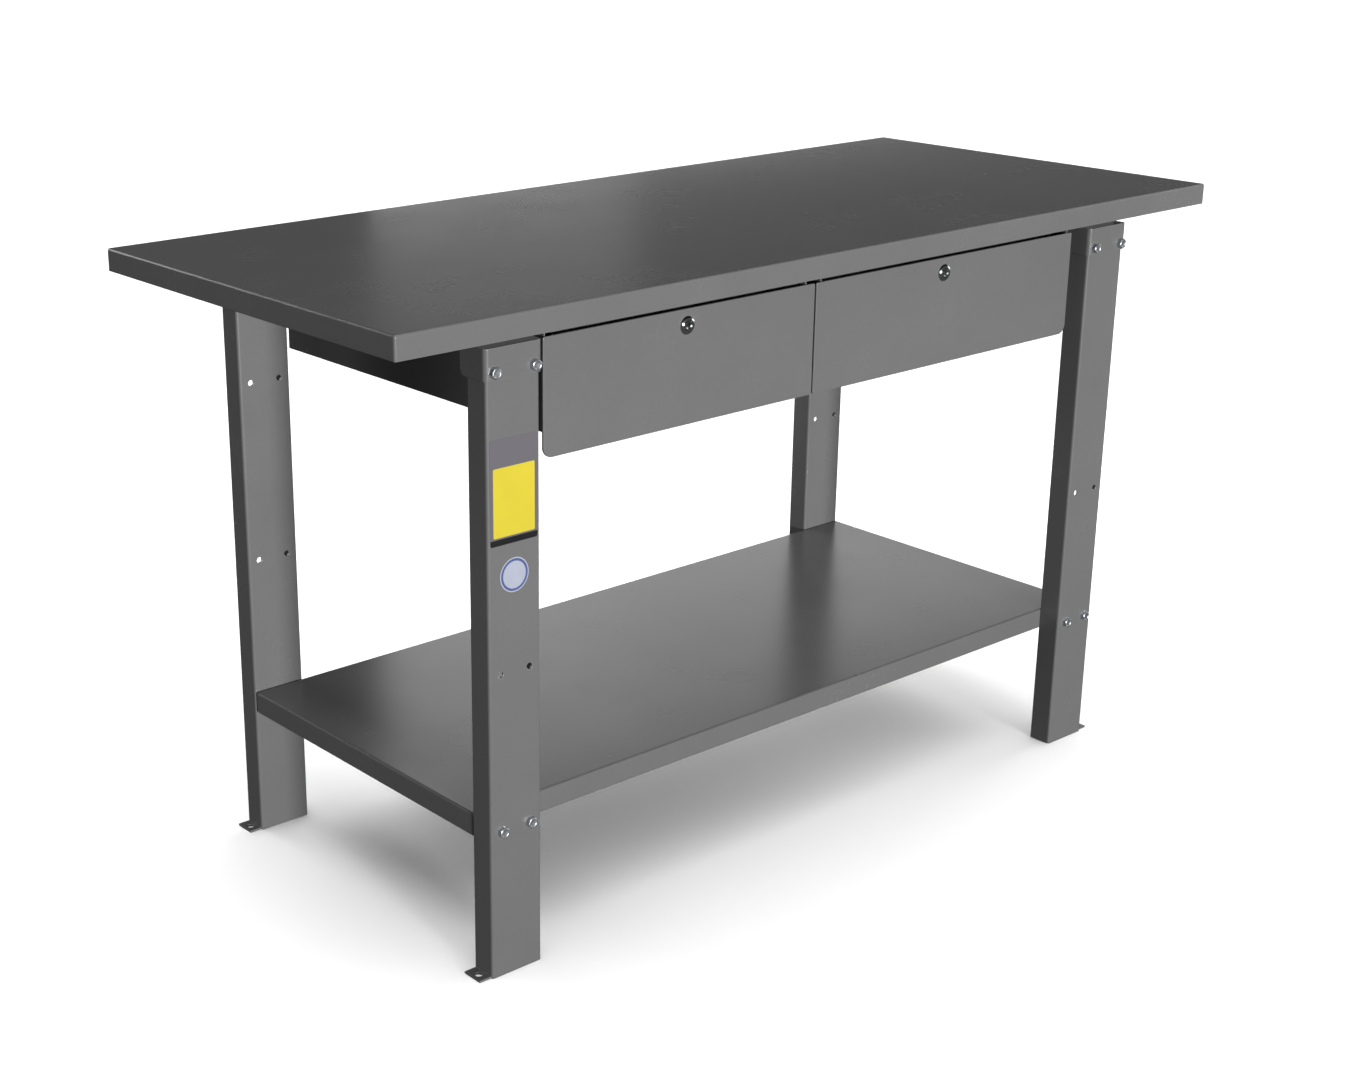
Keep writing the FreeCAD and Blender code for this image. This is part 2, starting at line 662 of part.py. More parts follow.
def drawer_box(tag, left, right, lock_x):
    """The tray of a drawer, with a higher front wall that the lock goes through."""
    wall = s.box_sheet
    y = front_back
    depth = s.box_rear - front_back
    body = new_body(f"{tag}_box", left, y, s.box_floor)
    width = right - left
    base = new_sketch(body, "XY_Plane")
    draw_rectangle(base, ZERO, ZERO, width, depth)
    pad(body, base, s.box_top - s.box_floor)
    hollow = new_sketch(body, "XY_Plane", lift=wall)
    draw_rectangle(hollow, wall, wall, width - wall, depth - wall)
    pocket(body, hollow, s.box_top - s.box_floor, forward=True)
    raised = new_sketch(body, "XZ_Plane")
    draw_rectangle(raised, ZERO, wall, width, s.box_wall_top - s.box_floor)
    pad(body, raised, wall, back=True)
    centre = (lock_x - left, s.lock_level - s.box_floor)
    drill(body, "XZ_Plane", [centre], s.barrel_radius + 0.2, wall * 2)
    drill(body, "XZ_Plane", front_screw_spots(left, right, left, s.box_floor), s.screw_hole,
          wall * 2)
    level = s.slide_level - s.box_floor
    holes = [(s.slide_length * k - s.slide_front - y, level) for k in SLIDE_FRACTIONS]
    drill(body, "YZ_Plane", holes, s.screw_hole, wall * 2, lift=-wall / 2, forward=True)
    drill(body, "YZ_Plane", holes, s.screw_hole, wall * 2, lift=width + wall / 2)
    return body


def front_screw_spots(left, right, x, z):
    """Where a front is screwed to its box, measured from x, z."""
    spots = []
    for across in (left + 40, right - 40):
        for level in (s.box_floor + 22, s.box_top - 22):
            spots.append((across - x, level - z))
    return spots


def drawer_front(tag, left, right, box, lock_x, corner):
    """A flat plate that hangs below the box, so that its lower edge is the finger pull."""
    body = new_body(f"{tag}_front", left, -s.front_face, s.front_floor)
    width = right - left
    height = s.front_top - s.front_floor
    plate = new_sketch(body, "XZ_Plane")
    draw_rectangle(plate, ZERO, ZERO, width, height)
    pad(body, plate, s.front_sheet, back=True)
    outer = ZERO if corner == LEFT else width
    round_edges(body, s.front_corner, lambda ends: crosswise(ends, outer, ZERO))
    inner = width if corner == LEFT else ZERO
    round_edges(body, s.front_edge * 3,
                lambda ends: crosswise(ends, ZERO, height) or crosswise(ends, width, height)
                or crosswise(ends, inner, ZERO))
    round_edges(body, s.front_edge, lambda ends: all(near(p.y, 0) for p in ends))
    centre = (lock_x - left, s.lock_level - s.front_floor)
    drill(body, "XZ_Plane", [centre], s.barrel_radius + 0.2, s.front_sheet * 2)
    drill(body, "XZ_Plane", front_screw_spots(box[0], box[1], left, s.front_floor),
          s.screw_hole, s.front_sheet, lift=-s.front_sheet * 0.4)
    return body


def lock(tag, x):
    """A cam lock: a barrel with its rim, a nut, a turning plug with a keyway, and a cam."""
    z = s.lock_level
    rim = s.front_face + s.bezel_thick
    bore = s.plug_radius + s.plug_fit
    total = s.bezel_thick + s.barrel_length
    cylinder = new_body(f"{tag}_lock_cylinder", x, -rim, z)
    section = new_sketch(cylinder, "YZ_Plane")
    draw_outline(section, [
        (0, bore), (0, s.bezel_radius - 1.2), (1.2, s.bezel_radius),
        (s.bezel_thick, s.bezel_radius), (s.bezel_thick, s.barrel_radius),
        (total, s.barrel_radius), (total, bore),
    ])
    turned = cylinder.newObject("PartDesign::Revolution", f"{tag}_lock_turned")
    turned.Profile = section
    turned.ReferenceAxis = (section, ["H_Axis"])
    turned.Angle = 360

    plug = new_body(f"{tag}_lock_plug", x, -rim - s.plug_proud, z)
    disc = new_sketch(plug, "XZ_Plane")
    draw_circle(disc, (0, 0), s.plug_radius)
    pad(plug, disc, total + s.plug_proud + s.cam_gap + s.cam_sheet, back=True)
    slot = new_sketch(plug, "XZ_Plane")
    draw_rectangle(slot, -s.keyway_width / 2, -s.keyway_height / 2,
                   s.keyway_width / 2, s.keyway_height / 2)
    pocket(plug, slot, s.keyway_depth)

    cam_y = s.barrel_length + s.cam_gap - s.front_face
    cam = new_body(f"{tag}_lock_cam", x, cam_y, z)
    arm = new_sketch(cam, "XZ_Plane")
    half = s.cam_width / 2
    draw_rectangle(arm, -s.cam_reach, -half, half, half)
    pad(cam, arm, s.cam_sheet, back=True)
    round_edges(cam, half * 0.5,
                lambda ends: near(ends[0].x, ends[1].x) and near(ends[0].z, ends[1].z))
    drill(cam, "XZ_Plane", [(0, 0)], s.plug_radius + 0.02, s.cam_sheet * 2)

    nut = hexagon(f"{tag}_nut_hexagon", s.locknut_flats, s.locknut_thick,
                  x, front_back + s.box_sheet, z, BACKWARD)
    hole = round_bar(f"{tag}_nut_hole", s.barrel_radius + s.nut_play, s.locknut_thick * 3,
                     x, front_back, z, BACKWARD)
    keep(cut(f"{tag}_lock_nut", nut, hole), f"{tag}_lock_nut")


def round_bar(name, radius, length, x, y, z, way):
    made = doc.addObject("Part::Cylinder", name)
    bind(made, "Radius", radius)
    bind(made, "Height", length)
    place(made, x, y, z, way)
    return made


def hexagon(name, flats, length, x, y, z, way):
    """A hexagonal block with two of its flats facing sideways."""
    made = doc.addObject("Part::Prism", name)
    made.Polygon = 6
    bind(made, "Circumradius", flats / 3 ** 0.5)
    bind(made, "Height", length)
    place(made, x, y, z, way, spin=30)
    return made


def cut(name, base, tool):
    made = doc.addObject("Part::Cut", name)
    made.Base = base
    made.Tool = tool
    return made


def fuse(name, pieces):
    made = doc.addObject("Part::MultiFuse", name)
    made.Shapes = pieces
    return made


def group(name, pieces):
    """One sub-part that holds like fasteners as separate solids."""
    made = doc.addObject("Part::Compound", name)
    made.Links = pieces
    return keep(made, name)


def along(spot, way, distance):
    """The spot moved by a distance along a unit direction."""
    return [Size.of(a) + distance * int(b) if b else a for a, b in zip(spot, way)]


half_span = s.front_span / 2
seam_half = s.front_seam / 2
wall_left = s.housing_sheet - housing_half
wall_right = housing_half - s.housing_sheet
DRAWERS = {
    "left_drawer": (wall_left, divider_left, -half_span, divider_middle - seam_half,
                    s.lock_left, LEFT),
    "right_drawer": (divider_right, wall_right, divider_middle + seam_half, half_span,
                     s.lock_right, RIGHT),
}
boxes = {}
for tag, (bay_left, bay_right, left, right, lock_x, corner) in DRAWERS.items():
    drawer_slide(tag, "left", bay_left, RIGHT)
    drawer_slide(tag, "right", bay_right, LEFT)
    boxes[tag] = (bay_left + s.slide_thick, bay_right - s.slide_thick)
    drawer_box(tag, *boxes[tag], lock_x)
    drawer_front(tag, left, right, boxes[tag], lock_x, corner)
    lock(tag, lock_x)


# ---------------------------------------------------------------- fasteners

def bolt(name, spot, way, length):
    """An M8 bolt whose collar sits at spot and whose head points along way."""
    collar = round_bar(f"{name}_collar", s.collar_radius, s.collar_thick, *spot, way)
    head = hexagon(f"{name}_head", s.bolt_flats, s.collar_thick + s.bolt_head, *spot, way)
    tip = along(spot, way, -length)
    shank = round_bar(f"{name}_shank", s.bolt_radius, length + s.collar_thick, *tip, way)
    return fuse(name, [collar, head, shank])


def hex_nut(name, spot, way):
    """An M8 nut that sits at spot and stands along way."""
    block = hexagon(f"{name}_block", s.bolt_flats, s.nut_thick, *spot, way)
    start = along(spot, way, -s.nut_thick)
    hole = round_bar(f"{name}_hole", s.bolt_radius + s.nut_play, s.nut_thick * 3, *start, way)
    return cut(name, block, hole)


def small_screw(name, spot, way, length, head_thick):
    """A small screw or rivet whose head sits at spot and points along way."""
    head = round_bar(f"{name}_head", s.screw_head, head_thick, *spot, way)
    tip = along(spot, way, -length)
    shank = round_bar(f"{name}_shank", s.screw_radius, length + head_thick, *tip, way)
    return fuse(name, [head, shank])


short_bolts = []
long_bolts = []
nuts = []
for row, web in web_rows.items():
    for side in (LEFT, RIGHT):
        middle = leg_middle * side
        for step in (LEFT, RIGHT):
            tag = f"{row}_{side + 1}_{step + 1}"
            x = middle + s.bolt_gap / 2 * step
            short_bolts.append(bolt(f"leg_bolt_{tag}", (x, web - s.leg_sheet, s.bolt_level),
                                    FORWARD, s.bolt_length))
            nuts.append(hex_nut(f"leg_nut_{tag}", (x, web + s.leg_sheet, s.bolt_level), BACKWARD))
            x = middle + s.seat_gap / 2 * step
            seat = web + s.seat_setback
            short_bolts.append(bolt(f"seat_bolt_{tag}", (x, seat, socket_roof), DOWN,
                                    s.bolt_length))
            nuts.append(hex_nut(f"seat_nut_{tag}", (x, seat, rib_floor + s.rib_sheet), UP))
            x = middle + s.hole_gap / 2 * step
            if row == "front":
                long_bolts.append(bolt(f"shelf_bolt_{tag}", (x, web, shelf_bolt_level), FORWARD,
                                       s.bolt_long))
                nuts.append(hex_nut(f"shelf_nut_{tag}",
                                    (x, s.shelf_sheet - shelf_half_depth, shelf_bolt_level),
                                    BACKWARD))
            else:
                short_bolts.append(bolt(f"shelf_bolt_{tag}",
                                        (x, web + s.leg_sheet, shelf_bolt_level), BACKWARD,
                                        s.bolt_length))
                nuts.append(hex_nut(f"shelf_nut_{tag}",
                                    (x, shelf_half_depth - s.shelf_sheet, shelf_bolt_level),
                                    FORWARD))
group("frame_bolts", short_bolts)
group("shelf_long_bolts", long_bolts)
group("frame_nuts", nuts)

hanger_spots = [(x, y) for x in hanging_columns for y in rib_rows.values()]
hanger_spots += [(x, rail_screw_row) for x in rail_screw_columns]
group("housing_screws", [
    small_screw(f"hanger_{k}", (x, y, rib_floor - s.housing_sheet), DOWN,
                s.housing_sheet + s.rib_sheet + 3, s.rivet_head_thick)
    for k, (x, y) in enumerate(hanger_spots)
])

rivets = []
for side in (LEFT, RIGHT):
    for row, z in enumerate(rivet_levels):
        rivets.append(small_screw(f"back_rivet_{side + 1}_{row}",
                                  (rivet_shift * side, s.housing_rear, z), BACKWARD,
                                  s.housing_sheet * 3, s.rivet_head_thick))
group("back_panel_rivets", rivets)

outer_screws = []
for tag, (bay_left, bay_right, *others) in DRAWERS.items():
    inner_screws = []
    for side, wall_x in ((LEFT, bay_left), (RIGHT, bay_right)):
        inward = -side
        way = Vector(inward, 0, 0)
        for row, k in enumerate(SLIDE_FRACTIONS):
            y = s.slide_length * k - s.slide_front
            spot = (wall_x + s.slide_sheet * inward, y, s.slide_level)
            outer_screws.append(small_screw(f"{tag}_outer_screw_{side + 1}_{row}", spot, way,
                                            s.slide_sheet + s.housing_sheet + 1,
                                            s.screw_head_thick))
            spot = (wall_x + (s.slide_thick - s.slide_sheet) * inward, y, s.slide_level)
            inner_screws.append(small_screw(f"{tag}_inner_screw_{side + 1}_{row}", spot, -way,
                                            s.slide_sheet + s.box_sheet + 0.6,
                                            s.screw_head_thick))
    group(f"{tag}_slide_screws", inner_screws)
    front_screws = []
    for row, (x, z) in enumerate(front_screw_spots(*boxes[tag], ZERO, ZERO)):
        front_screws.append(small_screw(f"{tag}_front_screw_{row}",
                                        (x, front_back + s.box_sheet, z), BACKWARD,
                                        s.box_sheet + s.front_sheet * 0.5, s.rivet_head_thick))
    group(f"{tag}_front_screws", front_screws)
group("slide_mounting_screws", outer_screws)


# ---------------------------------------------------------------- stickers

def sticker(name, width, height, low, y):
    """A flat rectangular sticker on the front left leg."""
    made = doc.addObject("Part::Box", name)
    bind(made, "Length", width)
    bind(made, "Width", s.sticker_thick)
    bind(made, "Height", height)
    place(made, -leg_middle - width / 2, y - s.sticker_thick, low)
    return keep(made, name)


leg_face = web_rows["front"]
sticker("sticker_backing", s.backing_width, s.backing_height, s.backing_floor, leg_face)
sticker("sticker_field", s.field_width, s.field_height, s.field_floor, leg_face - s.sticker_thick)
keep(round_bar("sticker_disc", s.disc_radius, s.sticker_thick, -leg_middle, leg_face,
               s.disc_level, FORWARD), "sticker_disc")


# ---------------------------------------------------------------- check and write

doc.recompute()
faults = [made.Name for made in doc.Objects if {"Invalid", "Error"} & set(made.State)]
faults += [part.Label for part in PARTS if part.Shape.isNull() or not part.Shape.isValid()]
faults += [part.Label for part in PARTS if not part.Shape.isNull() and not part.Shape.Solids]
if faults:
    raise RuntimeError("these objects failed: " + ", ".join(faults))
labels = [part.Label for part in PARTS]
if len(set(labels)) != len(labels) or len(labels) > 60:
    raise RuntimeError("the sub-parts need labels of their own, at most 60")

os.makedirs("parts", exist_ok=True)
for part in PARTS:
    part.Shape.exportStep(f"parts/{part.Label}.step")
print(len(PARTS), "parts written")
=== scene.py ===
import json
import math
import random

import bmesh
import bpy
from bpy.props import FloatProperty, FloatVectorProperty, PointerProperty
from mathutils import Matrix, Vector


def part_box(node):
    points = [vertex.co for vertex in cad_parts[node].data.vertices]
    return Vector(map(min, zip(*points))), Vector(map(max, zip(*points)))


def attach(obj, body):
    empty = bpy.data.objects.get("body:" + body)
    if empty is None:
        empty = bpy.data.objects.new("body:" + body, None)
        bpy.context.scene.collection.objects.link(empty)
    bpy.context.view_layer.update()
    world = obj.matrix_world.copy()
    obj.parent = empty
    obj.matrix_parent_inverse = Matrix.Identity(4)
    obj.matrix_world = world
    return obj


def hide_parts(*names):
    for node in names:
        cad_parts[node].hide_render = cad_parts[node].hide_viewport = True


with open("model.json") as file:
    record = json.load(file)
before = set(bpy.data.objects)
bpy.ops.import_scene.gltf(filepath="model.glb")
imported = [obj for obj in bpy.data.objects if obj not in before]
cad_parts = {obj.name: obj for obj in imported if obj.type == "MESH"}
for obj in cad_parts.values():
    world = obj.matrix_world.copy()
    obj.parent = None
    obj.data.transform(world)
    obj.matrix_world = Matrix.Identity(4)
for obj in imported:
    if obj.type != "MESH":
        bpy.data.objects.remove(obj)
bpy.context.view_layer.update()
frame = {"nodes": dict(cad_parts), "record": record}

bl_info = {
    "name": "Steel Workbench",
    "version": (1, 0, 0),
    "blender": (4, 5, 0),
    "location": "3D View > Sidebar > Workbench",
    "description": "Paints a steel workbench, and makes its fasteners, locks, stickers and studio",
    "category": "Object",
}

MM = 0.001
NODES = frame["nodes"]
BODY_OF_NODE = {
    node: body
    for body, members in frame["record"]["behaviour"]["bodies"].items()
    for node in members
}
SLOT_OF_NODE = {part["node"]: part["material_slot"] for part in frame["record"]["subparts"]}
DRAWERS = ("left_drawer", "right_drawer")

# turns a shape's +Z towards the front, -Y
FACE_FRONT = Matrix(((1, 0, 0), (0, 0, -1), (0, 1, 0))).to_4x4()
SEAM = 1e-3 * MM         # vertices nearer than this are the same

# hardware, in mm
BOLT_SHANK = 4.0         # radius
BOLT_HEAD = 9.2          # height, with the flange
BOLT_FLATS = 13.0
NUT_BORE = 4.02          # radius, clear of the bolt's shank
SCREW_SHANK = 1.95       # radius
SCREW_HEAD = 2.3         # height
LOCK_BARREL = 19         # width
LOCK_BARREL_PITCH = 1.0
LOCK_NUT_BORE = 9.55     # radius, clear of the barrel
FLAT_PER_CORNER = math.cos(math.pi / 6)    # a hexagon's width across flats over that across corners
THREAD_DEPTH = 0.54      # these three are shares of a thread's pitch
THREAD_CREST = 0.2
THREAD_ROOT = 0.6

# stickers
BACKING_CORNER = 3       # mm
FIELD_CORNER = 2         # mm
FOOT_BAND = 8            # mm, height of the band along the backing's foot
EVEN_FADING = (0.94, 0.94, 0.94)
YELLOW_FADING = (0.86, 0.86, 0.55)


def linear(hex_colour):
    """An sRGB hex colour, such as #5a5c5e, as linear red, green and blue."""
    channels = [int(hex_colour[i:i + 2], 16) / 255 for i in (1, 3, 5)]
    return tuple(c / 12.92 if c <= 0.04045 else ((c + 0.055) / 1.055) ** 2.4 for c in channels)


def colour_property(name, description, hex_colour):
    """A colour that the panel shows as a swatch."""
    return FloatVectorProperty(
        name=name, description=description, subtype="COLOR", size=3, min=0, max=1,
        default=linear(hex_colour))


# ---------------------------------------------------------------- sizes and colours

class WorkbenchFinish(bpy.types.PropertyGroup):
    """Colours of the bench's paint, plating and stickers."""

    paint: colour_property("Paint", "Powder coat on the folded steel", "#606060")
    # painted highlight: a paler grey along every edge, standing in for the light that edges catch
    paint_edge_highlight: colour_property("Paint edge", "Where the powder coat thins over an edge", "#868686")
    paint_roughness: FloatProperty(
        name="Paint roughness", description="Gloss of the powder coat", default=0.26, min=0, max=1,
        subtype="FACTOR")
    zinc: colour_property("Zinc", "Bright zinc plate on bolts, nuts and screws", "#c9ccd1")
    slide_steel: colour_property("Slide steel", "Rolled and plated steel of the drawer slides", "#b4b8bd")
    chrome: colour_property("Chrome", "Polished chrome of the locks", "#e2e3e6")
    sticker_backing: colour_property("Sticker backing", "Largest sticker on the leg", "#5c5a5f")
    sticker_foot: colour_property("Sticker foot", "Band along the largest sticker's foot", "#141416")
    sticker_field: colour_property("Sticker field", "Blank field on the largest sticker", "#beae36")
    sticker_disc: colour_property("Sticker disc", "Round sticker on the leg", "#9ba0ae")
    sticker_ring: colour_property("Sticker ring", "Plain ring round the disc's edge", "#46507c")


class WorkbenchHardware(bpy.types.PropertyGroup):
    """Sizes of the small pieces, in metres."""

    bolt_pitch: FloatProperty(
        name="Bolt pitch", description="Thread pitch of the leg bolts", default=1.25 * MM,
        subtype="DISTANCE", unit="LENGTH")
    screw_pitch: FloatProperty(
        name="Screw pitch", description="Thread pitch of the small screws", default=0.8 * MM,
        subtype="DISTANCE", unit="LENGTH")
    keyway_width: FloatProperty(
        name="Keyway width", description="Width of the slot in a lock's plug", default=2.2 * MM,
        subtype="DISTANCE", unit="LENGTH")


class WorkbenchStudio(bpy.types.PropertyGroup):
    """Floor, lights and lens."""

    floor: colour_property("Floor", "Plain pale floor", "#fafafa")
    sky: colour_property("Surroundings", "Light from all round", "#f4f4f4")
    sky_strength: FloatProperty(
        name="Surroundings strength", description="How much light comes from all round",
        default=0.07, min=0)
    key_strength: FloatProperty(
        name="Key light", description="Strength of the broad light in front of the drawers",
        default=5.4, min=0)
    fill_strength: FloatProperty(
        name="Fill lights", description="Strength of the faint lights on the right and at the back",
        default=1.5, min=0)
    top_strength: FloatProperty(
        name="Top light", description="Strength of the broad light overhead", default=0.9, min=0)
    floor_strength: FloatProperty(
        name="Floor light", description="Strength of the overhead light that only the floor takes",
        default=3.0, min=0)
    panel_power: FloatProperty(
        name="Back panel", description="Power of the white panel behind the bench", default=8.3,
        min=0, unit="POWER")
    glow_power: FloatProperty(
        name="Back glow", description="Power of the faint light that the worktop mirrors",
        default=0.45, min=0, unit="POWER")
    lens: FloatProperty(
        name="Lens", description="Focal length on a 36 mm wide sensor, in mm", default=56.5, min=1)


# ---------------------------------------------------------------- material nodes

def add_node(tree, kind, settings=None, inputs=None):
    """Adds a node, sets it up, and fills or links its inputs."""
    node = tree.nodes.new(kind)
    for name, value in (settings or {}).items():
        setattr(node, name, value)
    for name, value in (inputs or {}).items():
        socket = node.inputs[name]
        if isinstance(value, bpy.types.NodeSocket):
            tree.links.new(value, socket)
        else:
            socket.default_value = value
    return node


def blank_material(name):
    """A new material with an empty node tree."""
    material = bpy.data.materials.new(name)
    material.use_nodes = True
    material.node_tree.nodes.clear()
    return material, material.node_tree


def finish_material(tree, inputs):
    """Adds the surface shader with these inputs and joins it to the output."""
    shader = add_node(tree, "ShaderNodeBsdfPrincipled", inputs=inputs)
    add_node(tree, "ShaderNodeOutputMaterial", inputs={"Surface": shader.outputs["BSDF"]})


def per_metre(millimetres):
    """Texture scale that repeats about once in this many millimetres."""
    return 1 / (millimetres * MM)


def rgba(colour):
    """A colour with full alpha, for a colour socket."""
    return (*colour, 1)


def painted_steel(finish):
    """Grey polyester powder coat, sprayed dry and baked on folded steel sheet.

    It gives a semi-gloss face with a fine orange peel, sheets that are a little wavy so that what
    they mirror wanders, faint clouds of gloss, and a painted highlight, a paler line along every edge.
    """
    material, tree = blank_material("powder_coated_steel")
    place = add_node(tree, "ShaderNodeTexCoord").outputs["Object"]
    clouds = add_node(tree, "ShaderNodeTexNoise", inputs={
        "Vector": place, "Scale": per_metre(110), "Detail": 3, "Roughness": 0.55})
    # real orange peel is 1 to 2 mm across, too fine to show, so it is drawn coarser and faint
    peel = add_node(tree, "ShaderNodeTexNoise", inputs={
        "Vector": place, "Scale": per_metre(5), "Detail": 1, "Roughness": 0.5})
    wave = add_node(tree, "ShaderNodeTexNoise", inputs={
        "Vector": place, "Scale": per_metre(420), "Detail": 1})
    # the powder's own specks are under 1 mm, and are drawn coarser so that they show
    specks = add_node(tree, "ShaderNodeTexNoise", inputs={
        "Vector": place, "Scale": per_metre(4), "Detail": 0})

    surface = add_node(tree, "ShaderNodeNewGeometry").outputs["Normal"]
    rounded = add_node(tree, "ShaderNodeBevel", {"samples": 6}, {"Radius": 2.0 * MM})
    turn = add_node(tree, "ShaderNodeVectorMath", {"operation": "DOT_PRODUCT"},
                    {0: rounded.outputs["Normal"], 1: surface})
    # painted highlight: how far the rounded normal turns from the face marks the edges
    edge = add_node(tree, "ShaderNodeMapRange", inputs={
        "Value": turn.outputs["Value"], "From Min": 0.995, "From Max": 0.80,
        "To Min": 0, "To Max": 0.75})

    shade = add_node(tree, "ShaderNodeMapRange", inputs={
        "Value": clouds.outputs["Fac"], "From Min": 0.2, "From Max": 0.8,
        "To Min": 0.96, "To Max": 1.04})
    speckle = add_node(tree, "ShaderNodeMapRange", inputs={
        "Value": specks.outputs["Fac"], "From Min": 0.1, "From Max": 0.9,
        "To Min": 0.975, "To Max": 1.025})
    tone = add_node(tree, "ShaderNodeMath", {"operation": "MULTIPLY"},
                    {0: shade.outputs["Result"], 1: speckle.outputs["Result"]})
    # painted highlight: the paint goes paler along the edges
    coat = add_node(tree, "ShaderNodeMix", {"data_type": "RGBA"}, {
        "Factor": edge.outputs["Result"],
        "A": rgba(finish.paint), "B": rgba(finish.paint_edge_highlight)})
    colour = add_node(tree, "ShaderNodeVectorMath", {"operation": "SCALE"}, {
        0: coat.outputs["Result"], "Scale": tone.outputs["Value"]})
    gloss = add_node(tree, "ShaderNodeMapRange", inputs={
        "Value": clouds.outputs["Fac"], "From Min": 0.2, "From Max": 0.8,
        "To Min": finish.paint_roughness - 0.03, "To Max": finish.paint_roughness + 0.03})

    sheet = add_node(tree, "ShaderNodeBump", inputs={
        "Height": wave.outputs["Fac"], "Distance": 0.8 * MM, "Strength": 1,
        "Normal": rounded.outputs["Normal"]})
    skin = add_node(tree, "ShaderNodeBump", inputs={
        "Height": peel.outputs["Fac"], "Distance": 0.007 * MM, "Strength": 1,
        "Normal": sheet.outputs["Normal"]})
    finish_material(tree, {
        "Base Color": colour.outputs["Vector"], "Roughness": gloss.outputs["Result"],
        "Normal": skin.outputs["Normal"]})
    return material


def zinc_plated_steel(finish):
    """Bright zinc, electroplated on cold-formed steel.

    It gives a silvery mirror that is slightly blurred, with cloudy patches from the bath and a faint
    bluish cast.
    """
    material, tree = blank_material("bright_zinc_plate")
    place = add_node(tree, "ShaderNodeTexCoord").outputs["Object"]
    bath = add_node(tree, "ShaderNodeTexNoise", inputs={
        "Vector": place, "Scale": per_metre(5), "Detail": 3})
    tint = add_node(tree, "ShaderNodeMix", {"data_type": "RGBA"}, {
        "Factor": bath.outputs["Fac"],
        "A": rgba(finish.zinc), "B": rgba([c * 0.80 for c in finish.zinc])})
    blur = add_node(tree, "ShaderNodeMapRange", inputs={
        "Value": bath.outputs["Fac"], "From Min": 0.3, "From Max": 0.7,
        "To Min": 0.34, "To Max": 0.46})
    grain = add_node(tree, "ShaderNodeTexNoise", inputs={
        "Vector": place, "Scale": per_metre(0.35), "Detail": 2})
    skin = add_node(tree, "ShaderNodeBump", inputs={
        "Height": grain.outputs["Fac"], "Distance": 0.006 * MM, "Strength": 1})
    finish_material(tree, {
        "Base Color": tint.outputs["Result"], "Metallic": 1, "Roughness": blur.outputs["Result"],
        "Normal": skin.outputs["Normal"]})
    return material


def rolled_slide_steel(finish):
    """Cold-rolled strip, roll-formed into slides that run along Y, then zinc plated.

    It gives fine streaks along the strip, with duller bands where the rollers bore on it.
    """
    material, tree = blank_material("rolled_zinc_plated_strip")
    place = add_node(tree, "ShaderNodeTexCoord").outputs["Object"]
    along = add_node(tree, "ShaderNodeMapping", inputs={
        "Vector": place, "Scale": (per_metre(0.9), per_metre(90), per_metre(0.9))})
    streaks = add_node(tree, "ShaderNodeTexNoise", inputs={
        "Vector": along.outputs["Vector"], "Scale": 1, "Detail": 3})
    patches = add_node(tree, "ShaderNodeTexNoise", inputs={
        "Vector": place, "Scale": per_metre(30), "Detail": 2})
    tint = add_node(tree, "ShaderNodeMix", {"data_type": "RGBA"}, {
        "Factor": patches.outputs["Fac"],
        "A": rgba(finish.slide_steel), "B": rgba([c * 0.78 for c in finish.slide_steel])})
    blur = add_node(tree, "ShaderNodeMapRange", inputs={
        "Value": streaks.outputs["Fac"], "From Min": 0.3, "From Max": 0.7,
        "To Min": 0.34, "To Max": 0.50})
    skin = add_node(tree, "ShaderNodeBump", inputs={
        "Height": streaks.outputs["Fac"], "Distance": 0.01 * MM, "Strength": 1})
    finish_material(tree, {
        "Base Color": tint.outputs["Result"], "Metallic": 1, "Roughness": blur.outputs["Result"],
        "Normal": skin.outputs["Normal"]})
    return material


def polished_chrome(finish):
    """Chrome plated on a die-cast lock, polished.

    It gives a clear, dark-and-bright mirror with a few hairline rubs.
    """
    material, tree = blank_material("polished_chrome_plate")
    place = add_node(tree, "ShaderNodeTexCoord").outputs["Object"]
    rubs = add_node(tree, "ShaderNodeMapping", inputs={
        "Vector": place, "Rotation": (0, math.radians(35), 0),
        "Scale": (per_metre(0.25), per_metre(3), per_metre(6))})
    hairlines = add_node(tree, "ShaderNodeTexNoise", inputs={
        "Vector": rubs.outputs["Vector"], "Scale": 1, "Detail": 2})
    blur = add_node(tree, "ShaderNodeMapRange", inputs={
        "Value": hairlines.outputs["Fac"], "From Min": 0.45, "From Max": 0.75,
        "To Min": 0.07, "To Max": 0.20})
    skin = add_node(tree, "ShaderNodeBump", inputs={
        "Height": hairlines.outputs["Fac"], "Distance": 0.002 * MM, "Strength": 1})
    finish_material(tree, {
        "Base Color": rgba(finish.chrome), "Metallic": 1, "Roughness": blur.outputs["Result"],
        "Normal": skin.outputs["Normal"]})
    return material


